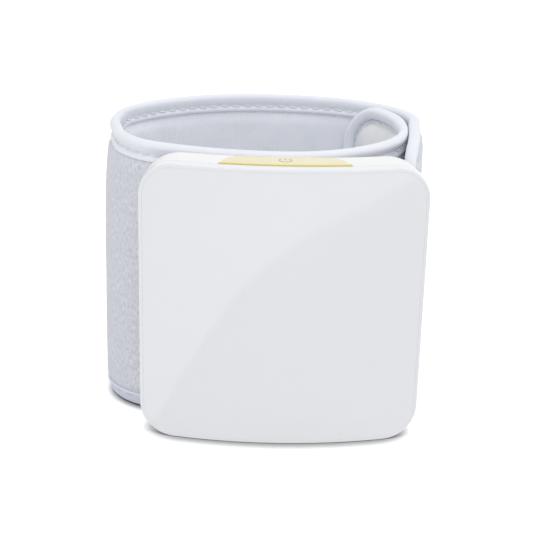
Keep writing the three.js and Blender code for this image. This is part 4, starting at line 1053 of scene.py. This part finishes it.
inside = {
    "stiffenerInset": 11, "stiffener": 0.6, "fillInset": 12, "gap": 0.3, "step": 2.2,
    "rows": (0, 0.3, 0.9, 2, 4, 8, 14),  # in from a long edge
    "edge": 2,  # over which that edge is rounded
    "bladder": (-73.2, 78),  # along the band
    "padding": (84.15, 147.85), "base": 0.1,
    "outerShare": 0.62,  # how much of the cloth's swell the plate follows, and of the lining's the filling
    "liningShare": 0.7,
    "least": 0.2,  # the thinnest filling
}


def stiffenerOuter(s):
    return inside["base"] - outerCrownAt(s) * inside["outerShare"] + inside["gap"]


def stiffenerInner(s):
    return stiffenerOuter(s) + inside["stiffener"]


def fillOuter(s):
    return stiffenerInner(s) + inside["gap"]


def fillInner(s):
    return max(inside["base"] + liningCrownAt(s) * inside["liningShare"], fillOuter(s) + inside["least"])


# A flat layer between two depths in the band, with rows closer at its long edges, which are rounded
def flatLayer(name, stations, inset, outer, inner, material):
    lower = [inset + step for step in inside["rows"]]
    heights = lower + [cuffTop / 2] + [cuffTop - z for z in reversed(lower)]

    def rounded(face):
        def depthAt(s, z):
            t = min(max((min(z, cuffTop - z) - inset) / inside["edge"], 0.02), 1)  # never quite sharp
            middle = (outer(s) + inner(s)) / 2
            return middle + (face(s) - middle) * sqrt(t * (2 - t))
        return depthAt

    return layerPiece(name, stations, lambda s: heights, rounded(outer), rounded(inner), material)


# Each inner layer: its span along the band, its inset, its two faces, its slot and the nodes it stands for
stiffSpan = (shortEnd + inside["stiffenerInset"], inside["padding"][1])
plateFaces, fillFaces = (stiffenerOuter, stiffenerInner), (fillOuter, fillInner)
innerLayers = {
    "_plate": (stiffSpan, inside["stiffenerInset"], plateFaces, "clear_plastic",
               {"cuff": "cuff_stiffener", "strap": "strap_stiffener"}),
    "_air_bag": (inside["bladder"], inside["fillInset"], fillFaces, "pale_rubber", {"cuff": "cuff_bladder"}),
    "_foam": (inside["padding"], inside["fillInset"], fillFaces, "foam", {"strap": "strap_padding"}),
}
for zone in zones:
    zoneStart, zoneEnd = zones[zone][:2]
    for name, (span, inset, layerFaces, slotName, nodes) in innerLayers.items():
        start, end = max(span[0], zoneStart), min(span[1], zoneEnd)
        if end - start < 1:
            continue
        stations = stationsBetween(start, end, inside["step"])
        piece = flatLayer(zone + name, stations, inset, *layerFaces, finishes[slotName])
        moveWith(piece, zone)
        if zone in nodes:
            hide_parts(nodes[zone])
print("inside of the cuff made")

patch = {"length": 28, "thickness": 0.7, "inset": 6.6, "face": 0.8, "step": 1.4}
end = longEnd - patch["inset"]
hookTape = flatLayer(
    "hook_tape", stationsBetween(end - patch["length"], end, patch["step"]), patch["inset"],
    lambda s: patch["face"], lambda s: patch["face"] + patch["thickness"], finishes["hook_tape"],
)
moveWith(hookTape, "tip")
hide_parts("hook_patch")
print("hook tape made")

studio = {
    "floorSize": 6,
    "floor": 0.92,  # how much light the floor gives back to the part
    "floorSeen": 1.5,  # how bright the floor itself looks, so that it ends in white
    # for camera rays the floor gets a painted contact shadow, from how closed in each point is near the part
    "contactReach": (6.5, 3.6),  # mm over which the floor darkens in front of the case and beside the cuff
    "contactTurn": (2, 10),  # mm back from the middle, where one goes over into the other
    "contact": (0.14, 0.74),  # how open the floor is where it is black and where it is white
    "contactSide": (0, 0.71, 0.71),  # up and back, so that it darkens more in front of the part
    # a grey card on the floor in front, seen only as a reflection in the clear front: its outline in mm
    "card": [(-35, -4), (-38, -13), (-44, -37), (-44, -69), (-33, -114), (-13, -141), (23, -171), (60, -187),
             (103, -196), (160, -201), (224, -193), (300, -150), (300, 20), (60, -2), (34, -4)],
    "cardHeight": 0.5, "cardGrey": 0.85, "dome": 0.7, "aim": (0, 0.03, 0.04),
    # softboxes: place and width in metres, power in watts
    "lamps": {
        "key": ((0.05, -0.36, 0.88), 0.8, 2.6),
        "side": ((0.5, 0.35, 0.5), 0.5, 0.6),
        "left": ((-0.5, 0.02, 0.14), 0.35, 0.05),
    },
}


# A flat sheet on the stage, and the empty node tree of its material
def addSheet(name, finish, outline, height):
    mesh = bpy.data.meshes.new(name)
    mesh.from_pydata([(x * mm, y * mm, height * mm) for x, y in outline], [], [tuple(range(len(outline)))])
    material = bpy.data.materials.new(finish)
    material.use_nodes = True
    material.node_tree.nodes.clear()
    mesh.materials.append(material)
    sheet = bpy.data.objects.new(name, mesh)
    scene.collection.objects.link(sheet)
    return sheet, material.node_tree


# 1 where the camera sees a thing, straight, in a reflection or through clear plastic
def seenByCamera(tree):
    path = addNode(tree, "LightPath").outputs
    seen = path["Is Camera Ray"]
    for ray in ("Is Glossy Ray", "Is Transmission Ray"):
        seen = addNode(tree, "Math", {0: seen, 1: path[ray]}, operation="ADD", use_clamp=True)
    return seen


def buildStudio():
    half = studio["floorSize"] / 2 / mm
    corners = [(-half, -half), (half, -half), (half, half), (-half, half)]
    tree = addSheet("floor", "white studio paper", corners, 0)[1]
    plain = addNode(tree, "BsdfDiffuse", {"Color": [studio["floor"]] * 3 + [1]})
    # painted shadow: the floor as the camera sees it is darkened by how closed in it is near the part
    back = addNode(tree, "SeparateXYZ", {0: addNode(tree, "TexCoord").outputs["Object"]}).outputs[1]
    caseReach, cuffReach = studio["contactReach"]
    turnStart, turnEnd = studio["contactTurn"]
    reach = addNode(tree, "MapRange", {
        0: back, 1: turnStart * mm, 2: turnEnd * mm, 3: caseReach * mm, 4: cuffReach * mm,
    })
    lookTo = addNode(tree, "CombineXYZ", dict(enumerate(studio["contactSide"])))
    near = addNode(tree, "AmbientOcclusion", {"Distance": reach, "Normal": lookTo}, samples=24)
    low, high = studio["contact"]
    openness = addNode(tree, "MapRange", {0: near.outputs["AO"], 1: low, 2: high, 3: 0, 4: 1})
    shade = addNode(tree, "Mix", {
        0: openness, 6: (0, 0, 0, 1), 7: [studio["floorSeen"]] * 3 + [1],
    }, data_type="RGBA")
    bright = addNode(tree, "BsdfDiffuse", {"Color": shade.outputs[2]})
    mix = addNode(tree, "MixShader", {0: seenByCamera(tree), 1: plain, 2: bright})
    addNode(tree, "OutputMaterial", {"Surface": mix})

    card, tree = addSheet("card", "grey card", studio["card"], studio["cardHeight"])
    for kind in ("camera", "diffuse", "transmission", "volume_scatter", "shadow"):
        setattr(card, "visible_" + kind, False)
    grey = addNode(tree, "Emission", {"Color": [studio["cardGrey"]] * 3 + [1]})
    addNode(tree, "OutputMaterial", {"Surface": grey})

    world = bpy.data.worlds.new("studio")
    world.use_nodes = True
    scene.world = world
    tree = world.node_tree
    tree.nodes.clear()
    strength = addNode(tree, "MapRange", {0: seenByCamera(tree), 1: 0, 2: 1, 3: studio["dome"], 4: 1})
    sky = addNode(tree, "Background", {"Color": (1, 1, 1, 1), "Strength": strength})
    addNode(tree, "OutputWorld", {"Surface": sky})

    for name, (place, size, power) in studio["lamps"].items():
        light = bpy.data.lights.new(name, "AREA")
        light.energy = power
        light.size = size
        softbox = bpy.data.objects.new(name, light)
        scene.collection.objects.link(softbox)
        softbox.location = place
        aim = Vector(studio["aim"]) - softbox.location
        softbox.rotation_euler = aim.to_track_quat("-Z", "Y").to_euler()


buildStudio()
bpy.context.scene.view_settings.view_transform = "Standard"
print("studio made")
